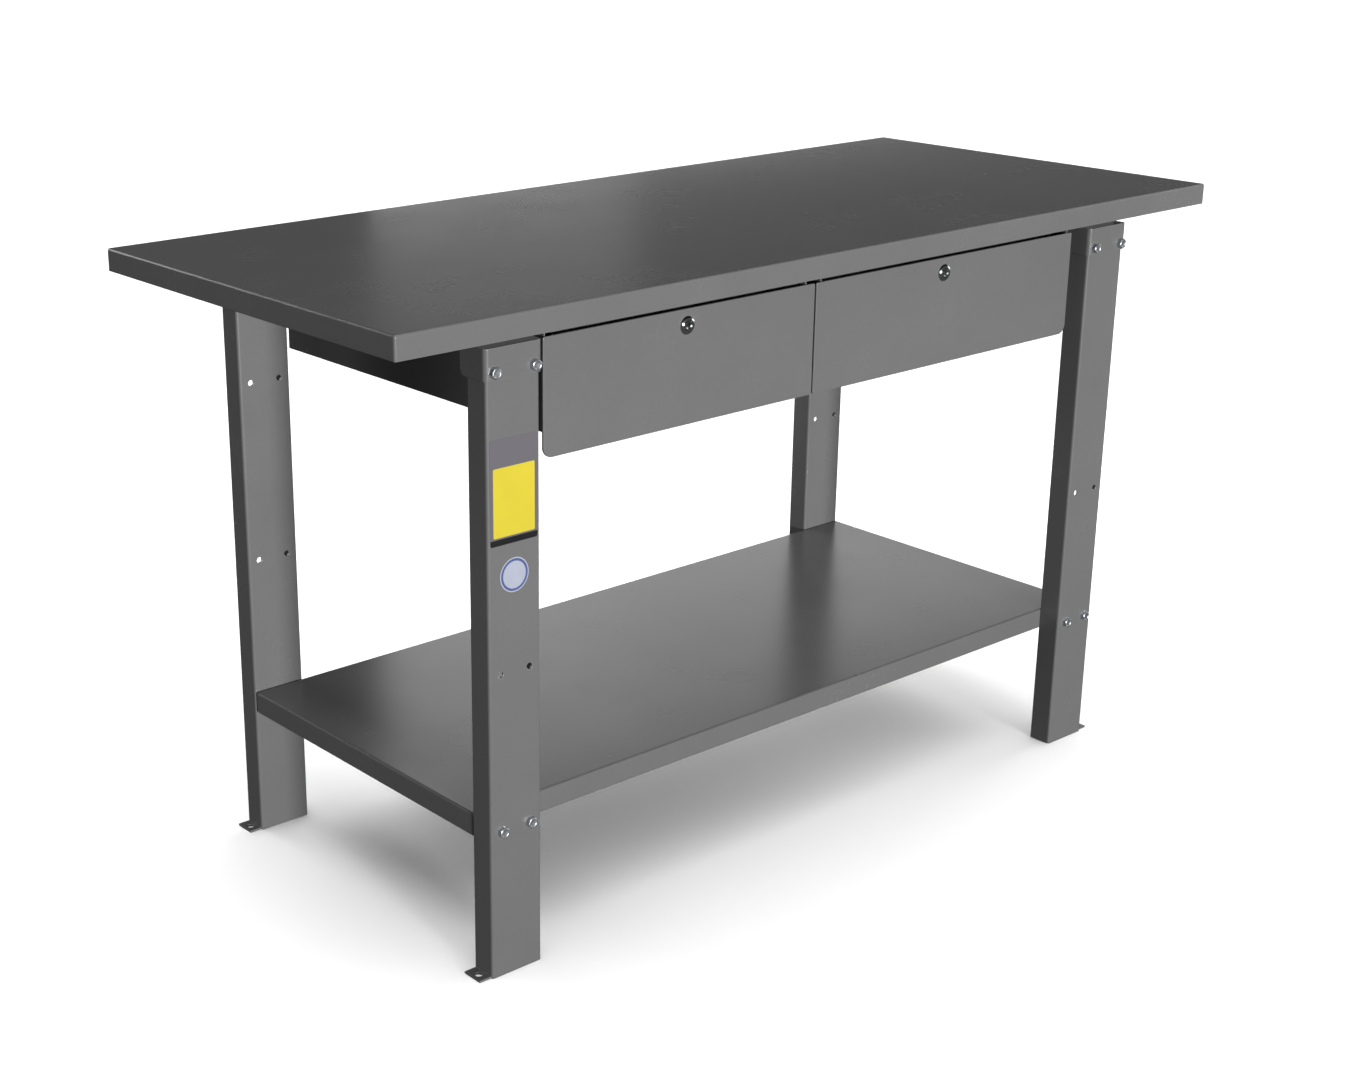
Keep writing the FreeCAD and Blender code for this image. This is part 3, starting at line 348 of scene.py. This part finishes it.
def vinyl_film(name, colour, fading, foot=None, foot_top=0):
    """Printed vinyl film on a leg: smooth and satin, with small bubbles and a slight fade.

    The fading is what is left of red, green and blue where it has faded most. A foot colour is
    printed as a band below the height foot_top.
    """
    material, tree = blank_material(name)
    place = add_node(tree, "ShaderNodeTexCoord").outputs["Object"]
    fade = add_node(tree, "ShaderNodeTexNoise", inputs={
        "Vector": place, "Scale": per_metre(45), "Detail": 2})
    bubbles = add_node(tree, "ShaderNodeTexNoise", inputs={
        "Vector": place, "Scale": per_metre(9), "Detail": 1})
    tint = add_node(tree, "ShaderNodeMix", {"data_type": "RGBA"}, {
        "Factor": fade.outputs["Fac"],
        "A": rgba(colour), "B": rgba([c * kept for c, kept in zip(colour, fading)])})
    if foot:
        height = add_node(tree, "ShaderNodeSeparateXYZ", inputs={"Vector": place})
        below = add_node(tree, "ShaderNodeMapRange", inputs={
            "Value": height.outputs["Z"], "From Min": foot_top, "From Max": foot_top - 0.3 * MM})
        tint = add_node(tree, "ShaderNodeMix", {"data_type": "RGBA"}, {
            "Factor": below.outputs["Result"], "A": tint.outputs["Result"], "B": rgba(foot)})
    blur = add_node(tree, "ShaderNodeMapRange", inputs={
        "Value": fade.outputs["Fac"], "From Min": 0.3, "From Max": 0.7,
        "To Min": 0.30, "To Max": 0.42})
    skin = add_node(tree, "ShaderNodeBump", inputs={
        "Height": bubbles.outputs["Fac"], "Distance": 0.08 * MM, "Strength": 1})
    finish_material(tree, {
        "Base Color": tint.outputs["Result"], "Roughness": blur.outputs["Result"],
        "Normal": skin.outputs["Normal"]})
    return material


def ringed_vinyl(finish, centre, radius):
    """Pale vinyl disc with one plain printed ring near its edge."""
    material, tree = blank_material("printed_vinyl_disc")
    place = add_node(tree, "ShaderNodeTexCoord").outputs["Object"]
    away = add_node(tree, "ShaderNodeVectorMath", {"operation": "DISTANCE"},
                    {0: place, 1: centre})
    fade = add_node(tree, "ShaderNodeTexNoise", inputs={
        "Vector": place, "Scale": per_metre(14), "Detail": 3})
    outside = add_node(tree, "ShaderNodeMapRange", inputs={
        "Value": away.outputs["Value"], "From Min": radius * 0.78, "From Max": radius * 0.80})
    inside = add_node(tree, "ShaderNodeMapRange", inputs={
        "Value": away.outputs["Value"], "From Min": radius * 0.94, "From Max": radius * 0.92})
    ring = add_node(tree, "ShaderNodeMath", {"operation": "MULTIPLY"},
                    {0: outside.outputs["Result"], 1: inside.outputs["Result"]})
    field = add_node(tree, "ShaderNodeMix", {"data_type": "RGBA"}, {
        "Factor": fade.outputs["Fac"],
        "A": rgba(finish.sticker_disc), "B": rgba([c * 0.8 for c in finish.sticker_disc])})
    print_ = add_node(tree, "ShaderNodeMix", {"data_type": "RGBA"}, {
        "Factor": ring.outputs["Value"],
        "A": field.outputs["Result"], "B": rgba(finish.sticker_ring)})
    blur = add_node(tree, "ShaderNodeMapRange", inputs={
        "Value": fade.outputs["Fac"], "From Min": 0.3, "From Max": 0.7,
        "To Min": 0.30, "To Max": 0.42})
    finish_material(tree, {
        "Base Color": print_.outputs["Result"], "Roughness": blur.outputs["Result"]})
    return material


def studio_floor(colour):
    """Seamless paper on the floor: matt, nearly white, with a very faint mottle."""
    material, tree = blank_material("seamless_paper")
    place = add_node(tree, "ShaderNodeTexCoord").outputs["Object"]
    mottle = add_node(tree, "ShaderNodeTexNoise", inputs={
        "Vector": place, "Scale": per_metre(600), "Detail": 2})
    tint = add_node(tree, "ShaderNodeMix", {"data_type": "RGBA"}, {
        "Factor": mottle.outputs["Fac"], "A": rgba(colour), "B": rgba([c * 0.985 for c in colour])})
    finish_material(tree, {"Base Color": tint.outputs["Result"], "Roughness": 0.9})
    return material


def material_once(name, make, *arguments):
    """The material of this name, made the first time that it is asked for."""
    return bpy.data.materials.get(name) or make(*arguments)


def zinc():
    return material_once("bright_zinc_plate", zinc_plated_steel, bpy.context.scene.workbench_finish)


def chrome():
    return material_once("polished_chrome_plate", polished_chrome, bpy.context.scene.workbench_finish)


def slide_steel():
    return material_once("rolled_zinc_plated_strip", rolled_slide_steel,
                         bpy.context.scene.workbench_finish)


def wear(node, material):
    """Gives a carried-over node this material in place of its plain one."""
    slots = NODES[node].data.materials
    slots.clear()
    slots.append(material)


# ---------------------------------------------------------------- shapes

def turned(profile, steps=40, closed=False):
    """A shape turned about Z, from (radius, height) points in mm."""
    shape = bmesh.new()
    rim = [shape.verts.new((radius * MM, 0, height * MM)) for radius, height in profile]
    pairs = list(zip(rim, rim[1:]))
    if closed:
        pairs.append((rim[-1], rim[0]))
    edges = [shape.edges.new(pair) for pair in pairs]
    bmesh.ops.spin(shape, geom=rim + edges, cent=(0, 0, 0), axis=(0, 0, 1), angle=math.tau,
                   steps=steps, use_merge=True, use_duplicate=False)
    bmesh.ops.remove_doubles(shape, verts=shape.verts, dist=SEAM)
    bmesh.ops.recalc_face_normals(shape, faces=shape.faces)
    return shape


def prism(sides, across_flats, low, high):
    """An upright prism with this many sides, in mm, with a corner on the Y axis."""
    radius = across_flats / 2 / math.cos(math.pi / sides) * MM
    shape = bmesh.new()
    bmesh.ops.create_cone(shape, cap_ends=True, segments=sides, radius1=radius, radius2=radius,
                          depth=(high - low) * MM,
                          matrix=Matrix.Translation((0, 0, (low + high) / 2 * MM)))
    return shape


def block(width, depth, low, high, centre=(0, 0)):
    """An upright block, in mm."""
    shape = bmesh.new()
    place = (Matrix.Translation((centre[0] * MM, centre[1] * MM, (low + high) / 2 * MM))
             @ Matrix.Diagonal((width * MM, depth * MM, (high - low) * MM, 1)))
    bmesh.ops.create_cube(shape, size=1, matrix=place)
    return shape


def combined(shape, tool, operation):
    """The shape after a boolean with the tool: UNION, DIFFERENCE or INTERSECT. Both are used up."""
    made = []
    for source in (shape, tool):
        mesh = bpy.data.meshes.new("scratch")
        source.to_mesh(mesh)
        source.free()
        made.append(bpy.data.objects.new("scratch", mesh))
        bpy.context.scene.collection.objects.link(made[-1])
    modifier = made[0].modifiers.new("cut", "BOOLEAN")
    modifier.operation = operation
    modifier.object = made[1]
    modifier.solver = "EXACT"
    depsgraph = bpy.context.evaluated_depsgraph_get()
    result = bmesh.new()
    result.from_mesh(made[0].evaluated_get(depsgraph).to_mesh())
    for helper in made:
        mesh = helper.data
        bpy.data.objects.remove(helper)
        bpy.data.meshes.remove(mesh)
    if not result.faces:
        raise RuntimeError(f"a boolean {operation} left nothing")
    bmesh.ops.remove_doubles(result, verts=result.verts, dist=SEAM)
    bmesh.ops.recalc_face_normals(result, faces=result.faces)
    return result


def softened(shape, radius, sharper_than=30, segments=2):
    """The shape with its sharp edges rounded to this radius, in mm."""
    sharp = [edge for edge in shape.edges
             if edge.is_manifold and edge.calc_face_angle(0) > math.radians(sharper_than)]
    bmesh.ops.bevel(shape, geom=sharp, offset=radius * MM, offset_type="OFFSET",
                    affect="EDGES", segments=segments, profile=0.5, material=-1, clamp_overlap=True)
    return shape


def piece(name, shapes, material, node):
    """One object from placed shapes, in the given material. It stands for a node, takes its body from it,
    and hides it.
    """
    mesh = bpy.data.meshes.new(name)
    joined = bmesh.new()
    for shape, place in shapes:
        part = bpy.data.meshes.new("scratch")
        shape.to_mesh(part)
        part.transform(place)
        joined.from_mesh(part)
        bpy.data.meshes.remove(part)
    joined.to_mesh(mesh)
    joined.free()
    mesh.shade_smooth()
    mesh.set_sharp_from_angle(angle=math.radians(32))
    mesh.materials.append(material)
    made = bpy.data.objects.new(name, mesh)
    bpy.context.scene.collection.objects.link(made)
    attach(made, BODY_OF_NODE[node])
    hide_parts(node)


# ---------------------------------------------------------------- where fasteners sit

class Fastener:
    """One solid of a node of fasteners: its long axis, its head's end, and its size in mm."""

    def __init__(self, points, axis):
        low = Vector([min(p[i] for p in points) for i in range(3)])
        high = Vector([max(p[i] for p in points) for i in range(3)])
        middle = (low + high) / 2
        self.axis = axis
        self.length = (high - low)[axis] / MM
        across = [i for i in range(3) if i != axis]
        self.width = max((high - low)[i] for i in across) / MM

        def reach(point):
            return math.hypot(*((point - middle)[i] for i in across))

        widest = max(reach(point) for point in points)
        rim = [point[axis] for point in points if reach(point) > widest * 0.995]
        self.out = 1 if sum(rim) / len(rim) > middle[axis] else -1
        self.head = middle.copy()
        self.head[axis] = (high if self.out > 0 else low)[axis]

    def place(self, twist=0.0):
        """Matrix that sets a shape's +Z out of the head, with z = 0 at the head's outer end."""
        out = Vector([self.out if i == self.axis else 0 for i in range(3)])
        upright = Vector((0, 1, 0)) if self.axis == 2 else Vector((0, 0, 1))
        across = upright.cross(out)
        turn = Matrix((across, upright, out)).transposed().to_4x4()
        return Matrix.Translation(self.head) @ turn @ Matrix.Rotation(twist, 4, "Z")


def fasteners(node, shortest=False):
    """Every separate solid of a node as a Fastener. Nuts lie along their shortest side."""
    shape = bmesh.new()
    shape.from_mesh(NODES[node].data)
    bmesh.ops.remove_doubles(shape, verts=shape.verts, dist=SEAM)
    left = set(shape.verts)
    found = []
    while left:
        reached = [left.pop()]
        for vertex in reached:
            for edge in vertex.link_edges:
                other = edge.other_vert(vertex)
                if other in left:
                    left.remove(other)
                    reached.append(other)
        points = [vertex.co.copy() for vertex in reached]
        spans = [max(p[i] for p in points) - min(p[i] for p in points) for i in range(3)]
        if shortest:
            axis = spans.index(min(spans))
        else:
            # the two sides across a round head are equal, and the odd one is the long axis
            axis = min(range(3), key=lambda i: abs(spans[(i + 1) % 3] - spans[(i + 2) % 3]))
        found.append(Fastener(points, axis))
    shape.free()
    return sorted(found, key=lambda f: tuple(round(c, 4) for c in f.head))


def thread(radius, top, bottom, pitch):
    """(radius, height) points in mm down a threaded shank, to the middle of its flat end."""
    depth = pitch * THREAD_DEPTH
    turns = int((top - bottom - depth) / pitch)
    points = []
    for turn in range(turns):
        crest = top - turn * pitch
        points += [(radius, crest), (radius, crest - pitch * THREAD_CREST),
                   (radius - depth, crest - pitch * THREAD_ROOT)]
    return points + [(radius - depth, bottom), (0, bottom)]


# ---------------------------------------------------------------- fasteners

def flange_bolt(width, length, pitch):
    """A hexagon-head flange bolt, head up, with its head's top at z = 0."""
    seat = -BOLT_HEAD
    radius = width / 2
    hexagon = combined(
        prism(6, BOLT_FLATS, seat + 1.2, 0),
        turned([(0, seat), (8.2, seat), (8.2, -1.15), (6.3, 0), (4.9, 0), (4.5, -0.35), (0, -0.35)]),
        "INTERSECT")
    skirt = turned(
        [(0, seat + 3.1), (6.2, seat + 3.1), (7.2, seat + 2.0), (radius - 0.35, seat + 1.15),
         (radius, seat + 0.75), (radius, seat + 0.25), (radius - 0.25, seat), (BOLT_SHANK, seat)]
        + thread(BOLT_SHANK, seat - 1.0, -length, pitch))
    return softened(combined(hexagon, skirt, "UNION"), 0.18)


def hexagon_nut(across_flats, thickness, bore):
    """A hexagon nut between z = -thickness and 0, chamfered on both faces. The bore is a radius."""
    corner = across_flats / 2 / FLAT_PER_CORNER
    bite = across_flats * 0.045
    outside = combined(
        prism(6, across_flats, -thickness, 0),
        turned([(0, -thickness), (across_flats * 0.48, -thickness), (corner + 0.1, -thickness + bite),
                (corner + 0.1, -bite), (across_flats * 0.48, 0), (0, 0)]),
        "INTERSECT")
    lead = 0.5
    hole = turned([(0, -thickness - 1), (bore + lead + 1, -thickness - 1), (bore + lead, -thickness),
                   (bore, -thickness + lead), (bore, -lead), (bore + lead, 0), (bore + lead + 1, 1),
                   (0, 1)])
    return combined(outside, hole, "DIFFERENCE")


def pan_screw(width, length, pitch):
    """A pan-head screw with a cross recess, head up, with its head's top at z = 0."""
    radius = width / 2
    dome = [(0, 0)] + [
        (radius * math.sin(angle), -SCREW_HEAD * 0.75 * (1 - math.cos(angle)))
        for angle in (math.radians(a) for a in (25, 45, 60, 72, 82, 90))]
    seat = -SCREW_HEAD
    shank = thread(SCREW_SHANK, seat - 0.3, -length, pitch)
    body = turned(dome + [(radius, seat + 0.15), (radius - 0.15, seat), (SCREW_SHANK, seat)] + shank, 32)
    for turn in (0, math.pi / 2):
        slot = block(1.0, width * 0.58, -1.5, 1)
        bmesh.ops.rotate(slot, verts=slot.verts, cent=(0, 0, 0), matrix=Matrix.Rotation(turn, 3, "Z"))
        body = combined(body, slot, "DIFFERENCE")
    return body


def blind_rivet(width, length):
    """A blind rivet, head up, with the snapped mandrel sunk in its head."""
    radius = width / 2
    return turned([(0, -0.9), (1.05, -0.9), (1.1, -0.1), (1.5, 0), (2.6, -0.2), (3.7, -0.75),
                   (radius, -1.5), (radius, -1.75), (radius - 0.2, -1.9), (2.0, -1.9),
                   (2.0, -length + 0.5), (1.5, -length), (0, -length)], 32)


def scatter(name, node, make, shortest=False, turns=True):
    """Replaces a node of fasteners by one made shape at each of its solids."""
    found = fasteners(node, shortest)
    chance = random.Random(name)
    made = {}
    shapes = []
    for one in found:
        size = (round(one.width, 1), round(one.length, 1))
        if size not in made:
            made[size] = make(*size)
        twist = chance.uniform(0, math.tau) if turns else 0
        shapes.append((made[size], one.place(twist)))
    piece(name, shapes, zinc(), node)
    for shape in made.values():
        shape.free()


class WORKBENCH_OT_bolts(bpy.types.Operator):
    """Makes the flange bolts of the legs and of the shelf"""

    bl_idname = "workbench.bolts"
    bl_label = "Bolts"

    def execute(self, context):
        pitch = context.scene.workbench_hardware.bolt_pitch / MM
        for node in ("frame_bolts", "shelf_long_bolts"):
            scatter(f"{node}_hexagon_flange", node,
                    lambda width, length: flange_bolt(width, length, pitch))
        return {"FINISHED"}


class WORKBENCH_OT_nuts(bpy.types.Operator):
    """Makes the nuts of the leg bolts and of the locks"""

    bl_idname = "workbench.nuts"
    bl_label = "Nuts"

    def execute(self, context):
        bores = {"frame_nuts": NUT_BORE}
        bores.update({f"{drawer}_lock_nut": LOCK_NUT_BORE for drawer in DRAWERS})
        for node, bore in bores.items():
            scatter(f"{node}_hexagon", node,
                    lambda width, length: hexagon_nut(width * FLAT_PER_CORNER, length, bore),
                    shortest=True, turns=False)
        return {"FINISHED"}


class WORKBENCH_OT_screws(bpy.types.Operator):
    """Makes the small screws and the rivets"""

    bl_idname = "workbench.screws"
    bl_label = "Screws and rivets"

    def execute(self, context):
        pitch = context.scene.workbench_hardware.screw_pitch / MM

        def screw(width, length):
            return pan_screw(width, length, pitch)

        screws = ["housing_screws", "slide_mounting_screws"]
        screws += [f"{drawer}_{kind}" for drawer in DRAWERS for kind in ("front_screws", "slide_screws")]
        for node in screws:
            scatter(f"{node}_pan_head", node, screw)
        scatter("back_panel_rivets_domed", "back_panel_rivets", blind_rivet, turns=False)
        return {"FINISHED"}


# ---------------------------------------------------------------- locks

def lock_place(drawer):
    """Matrix that sets a shape's +Z out of a drawer's front, with z = 0 on the lock plug's face."""
    low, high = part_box(f"{drawer}_lock_plug")
    return Matrix.Translation(((low.x + high.x) / 2, low.y, (low.z + high.z) / 2)) @ FACE_FRONT


def lock_barrel(bezel, barrel, bore, proud, depth, plug_proud):
    """The lock's outer barrel with its round bezel, in mm, bored for the plug."""
    rim, body, top = bezel / 2, barrel / 2, -plug_proud
    seat = top - proud
    outside = turned(
        [(bore, top - 0.5), (bore + 0.25, top - 0.1), (bore + 0.9, top), (bore + 2.2, top - 0.15),
         (rim - 1.6, top - 0.9), (rim - 0.5, top - 1.9), (rim, seat + 0.9), (rim, seat + 0.25),
         (rim - 0.25, seat), (body, seat), (body, seat - 0.8)]
        + thread(body, seat - 0.8, -depth, LOCK_BARREL_PITCH)[:-1]
        + [(bore, -depth)], 64, closed=True)
    for side in (-1, 1):
        flat = block(3.0, barrel + 4, -depth - 1, seat - 0.2, (side * (body - 0.9 + 1.5), 0))
        outside = combined(outside, flat, "DIFFERENCE")
    return outside


def lock_plug(width, depth, keyway):
    """The lock's plug, face up at z = 0, with a keyway and a dished ring round it."""
    radius = width / 2
    body = turned([(0, -0.45), (3.9, -0.45), (4.4, -0.1), (4.9, 0), (radius - 0.5, 0),
                   (radius, -0.45), (radius, -depth + 0.3), (radius - 0.3, -depth), (0, -depth)], 56)
    body = combined(body, block(keyway, 8.2, -14, 1), "DIFFERENCE")
    for side, height in ((1, 1.4), (-1, -1.7)):
        ward = block(0.9, 1.5, -14, 1, (side * (keyway / 2 + 0.2), height))
        body = combined(body, ward, "DIFFERENCE")
    return body


class WORKBENCH_OT_locks(bpy.types.Operator):
    """Makes each drawer's lock barrel and plug, and plates its cam"""

    bl_idname = "workbench.locks"
    bl_label = "Locks"

    def execute(self, context):
        keyway = context.scene.workbench_hardware.keyway_width / MM
        for drawer in DRAWERS:
            place = lock_place(drawer)
            plug_low, plug_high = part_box(f"{drawer}_lock_plug")
            low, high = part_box(f"{drawer}_lock_cylinder")
            front_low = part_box(f"{drawer}_front")[0]
            plug_width = (plug_high.x - plug_low.x) / MM
            barrel = lock_barrel(
                bezel=(high.x - low.x) / MM, barrel=LOCK_BARREL, bore=plug_width / 2 + 0.05,
                proud=(front_low.y - low.y) / MM, depth=(high.y - plug_low.y) / MM,
                plug_proud=(low.y - plug_low.y) / MM)
            piece(f"{drawer}_lock_barrel_threaded", [(barrel, place)], chrome(),
                  f"{drawer}_lock_cylinder")
            plug = lock_plug(plug_width, (plug_high.y - plug_low.y) / MM, keyway)
            piece(f"{drawer}_lock_plug_keyed", [(plug, place)], chrome(), f"{drawer}_lock_plug")
            barrel.free()
            plug.free()
            wear(f"{drawer}_lock_cam", zinc())
        return {"FINISHED"}


# ---------------------------------------------------------------- sheet metal, slides, stickers

class WORKBENCH_OT_paint(bpy.types.Operator):
    """Powder coats every folded sheet of the bench"""

    bl_idname = "workbench.paint"
    bl_label = "Paint"

    def execute(self, context):
        coat = material_once("powder_coated_steel", painted_steel, context.scene.workbench_finish)
        for node, slot in SLOT_OF_NODE.items():
            if slot == "grey_powder_coat":
                wear(node, coat)
        return {"FINISHED"}


class WORKBENCH_OT_slides(bpy.types.Operator):
    """Plates the drawer slides"""

    bl_idname = "workbench.slides"
    bl_label = "Drawer slides"

    def execute(self, context):
        for node, slot in SLOT_OF_NODE.items():
            if slot == "slide_steel":
                wear(node, slide_steel())
        return {"FINISHED"}


def film(node, corner):
    """A thin film with round corners, as large as a sticker's box. It faces -Y."""
    low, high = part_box(node)
    shape = bmesh.new()
    place = (Matrix.Translation(((low.x + high.x) / 2, high.y, (low.z + high.z) / 2))
             @ Matrix.Rotation(math.radians(90), 4, "X")
             @ Matrix.Diagonal((high.x - low.x, high.z - low.z, 1, 1)))
    bmesh.ops.create_grid(shape, x_segments=1, y_segments=1, size=0.5, matrix=place)
    bmesh.ops.bevel(shape, geom=shape.verts[:], offset=corner * MM, affect="VERTICES",
                    segments=6, profile=0.5, material=-1)
    grown = bmesh.ops.extrude_face_region(shape, geom=shape.faces[:])
    lifted = [v for v in grown["geom"] if isinstance(v, bmesh.types.BMVert)]
    bmesh.ops.translate(shape, verts=lifted, vec=(0, low.y - high.y, 0))
    bmesh.ops.recalc_face_normals(shape, faces=shape.faces)
    return shape


class WORKBENCH_OT_stickers(bpy.types.Operator):
    """Makes the blank stickers on the front left leg"""

    bl_idname = "workbench.stickers"
    bl_label = "Stickers"

    def execute(self, context):
        finish = context.scene.workbench_finish
        backing = film("sticker_backing", BACKING_CORNER)
        piece("sticker_backing_film", [(backing, Matrix())],
              vinyl_film("grey_vinyl_film", finish.sticker_backing, EVEN_FADING, finish.sticker_foot,
                         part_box("sticker_backing")[0].z + FOOT_BAND * MM),
              "sticker_backing")
        field = film("sticker_field", FIELD_CORNER)
        piece("sticker_field_film", [(field, Matrix())],
              vinyl_film("yellow_vinyl_film", finish.sticker_field, YELLOW_FADING),
              "sticker_field")
        low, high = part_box("sticker_disc")
        centre = (low + high) / 2
        radius = (high.x - low.x) / 2
        thick = (high.y - low.y) / MM
        rim = radius / MM
        disc = turned([(0, 0), (rim, 0), (rim, thick * 0.7), (rim - 0.1, thick), (0, thick)], 64)
        place = Matrix.Translation((centre.x, high.y, centre.z)) @ FACE_FRONT
        piece("sticker_disc_film", [(disc, place)], ringed_vinyl(finish, centre, radius),
              "sticker_disc")
        for shape in (backing, field, disc):
            shape.free()
        return {"FINISHED"}


# ---------------------------------------------------------------- studio

CAMERA_PLACE = Vector((-2.0513, -2.1474, 1.4027))
CAMERA_HEADING = 38.90   # degrees from +Y towards +X
CAMERA_TILT = 19.03      # degrees below level
CAMERA_ROLL = -0.361     # degrees
CAMERA_SHIFT = 0.1148    # share of the picture's width
FLOOR_SIDE = 60          # metres
FLOOR_DROP = 0.5 * MM    # so that the feet don't share the floor's plane
SEEN_SKY = 1.1           # strength of the surroundings to the camera


def aimed(place, target):
    """Matrix of something at a place, looking along -Z at a target."""
    look = (Vector(target) - Vector(place)).to_track_quat("-Z", "Y")
    return Matrix.Translation(place) @ look.to_matrix().to_4x4()


def broad_light(name, heading, height, spread, strength):
    """Light as from a very large, far lamp. The angles are in degrees: from -Y towards +X, above
    level, and across the lamp."""
    data = bpy.data.lights.new(name, "SUN")
    data.angle = math.radians(spread)
    data.energy = strength
    light = bpy.data.objects.new(name, data)
    heading, height = math.radians(heading), math.radians(height)
    place = (math.sin(heading) * math.cos(height), -math.cos(heading) * math.cos(height),
             math.sin(height))
    light.matrix_world = aimed(Vector(place) * 5, (0, 0, 0))
    bpy.context.scene.collection.objects.link(light)
    return light


def soft_light(name, place, target, width, height, power):
    """A rectangular soft box that the camera doesn't see. Places and sizes are in metres."""
    data = bpy.data.lights.new(name, "AREA")
    data.shape = "RECTANGLE"
    data.size = width
    data.size_y = height
    data.energy = power
    light = bpy.data.objects.new(name, data)
    light.matrix_world = aimed(place, target)
    light.visible_camera = False
    bpy.context.scene.collection.objects.link(light)


class WORKBENCH_OT_studio(bpy.types.Operator):
    """Sets up the floor, the lights, the surroundings and the camera"""

    bl_idname = "workbench.studio"
    bl_label = "Studio"

    def execute(self, context):
        scene = context.scene
        studio = scene.workbench_studio

        mesh = bpy.data.meshes.new("studio_floor")
        shape = bmesh.new()
        bmesh.ops.create_grid(shape, x_segments=1, y_segments=1, size=FLOOR_SIDE / 2)
        shape.to_mesh(mesh)
        shape.free()
        mesh.materials.append(studio_floor(studio.floor))
        floor = bpy.data.objects.new("studio_floor", mesh)
        floor.location.z = -FLOOR_DROP
        # kept out of bounced and mirrored light, so that the bench's sides and underside stay dark
        floor.visible_diffuse = False
        floor.visible_glossy = False
        scene.collection.objects.link(floor)

        world = bpy.data.worlds.new("studio_surroundings")
        world.use_nodes = True
        world.node_tree.nodes.clear()
        seen = add_node(world.node_tree, "ShaderNodeLightPath").outputs["Is Camera Ray"]
        strength = add_node(world.node_tree, "ShaderNodeMapRange", inputs={
            "Value": seen, "To Min": studio.sky_strength, "To Max": SEEN_SKY})
        glow = add_node(world.node_tree, "ShaderNodeBackground", inputs={
            "Color": rgba(studio.sky), "Strength": strength.outputs["Result"]})
        add_node(world.node_tree, "ShaderNodeOutputWorld",
                 inputs={"Surface": glow.outputs["Background"]})
        scene.world = world

        # in front of the drawers and low, so that the upright faces are bright and the flat tops dark
        broad_light("key_light", -9, 3, 9, studio.key_strength)
        broad_light("right_light", 88, 10, 30, studio.fill_strength)
        broad_light("back_light", 190, 12, 30, studio.fill_strength)
        broad_light("top_light", 0, 88, 70, studio.top_strength)
        bright = broad_light("floor_light", 0, 88, 100, studio.floor_strength)
        lit = bpy.data.collections.new("floor_light_takers")
        lit.objects.link(floor)
        bright.light_linking.receiver_collection = lit
        # the lower shelf mirrors the panel, and the far part of the worktop mirrors the glow
        soft_light("back_panel", (1.34, 0.85, 0.535), (1.34, 0, 0.535), 2.6, 0.83, studio.panel_power)
        soft_light("back_glow", (2.01, 2.95, 1.63), (-0.38, -0.05, 0.86), 0.8, 0.4,
                   studio.glow_power)

        data = bpy.data.cameras.new("camera")
        data.lens = studio.lens
        data.sensor_width = 36
        data.shift_x = CAMERA_SHIFT
        camera = bpy.data.objects.new("camera", data)
        heading, tilt = math.radians(CAMERA_HEADING), math.radians(CAMERA_TILT)
        ahead = Vector((math.sin(heading) * math.cos(tilt), math.cos(heading) * math.cos(tilt),
                        -math.sin(tilt)))
        level = aimed(CAMERA_PLACE, CAMERA_PLACE + ahead)
        camera.matrix_world = level @ Matrix.Rotation(math.radians(CAMERA_ROLL), 4, "Z")
        scene.collection.objects.link(camera)
        scene.camera = camera
        scene.view_settings.view_transform = "Standard"
        return {"FINISHED"}


# ---------------------------------------------------------------- panel

GROUPS = {
    "workbench_finish": WorkbenchFinish,
    "workbench_hardware": WorkbenchHardware,
    "workbench_studio": WorkbenchStudio,
}
OPERATORS = (
    WORKBENCH_OT_paint,
    WORKBENCH_OT_slides,
    WORKBENCH_OT_bolts,
    WORKBENCH_OT_nuts,
    WORKBENCH_OT_screws,
    WORKBENCH_OT_locks,
    WORKBENCH_OT_stickers,
    WORKBENCH_OT_studio,
)


class WORKBENCH_PT_panel(bpy.types.Panel):
    """Lists the bench's pieces with their sizes and colours"""

    bl_idname = "WORKBENCH_PT_panel"
    bl_label = "Steel Workbench"
    bl_space_type = "VIEW_3D"
    bl_region_type = "UI"
    bl_category = "Workbench"

    def draw(self, context):
        for group, kind in GROUPS.items():
            box = self.layout.box()
            for name in kind.__annotations__:
                box.prop(getattr(context.scene, group), name)
        for operator in OPERATORS:
            self.layout.operator(operator.bl_idname)


def register():
    for kind in (*GROUPS.values(), *OPERATORS, WORKBENCH_PT_panel):
        bpy.utils.register_class(kind)
    for group, kind in GROUPS.items():
        setattr(bpy.types.Scene, group, PointerProperty(type=kind))


def unregister():
    for group in GROUPS:
        delattr(bpy.types.Scene, group)
    for kind in (WORKBENCH_PT_panel, *reversed(OPERATORS), *reversed(GROUPS.values())):
        bpy.utils.unregister_class(kind)


def main():
    register()
    for operator in OPERATORS:
        family, action = operator.bl_idname.split(".")
        getattr(getattr(bpy.ops, family), action)()


if __name__ == "__main__":
    main()
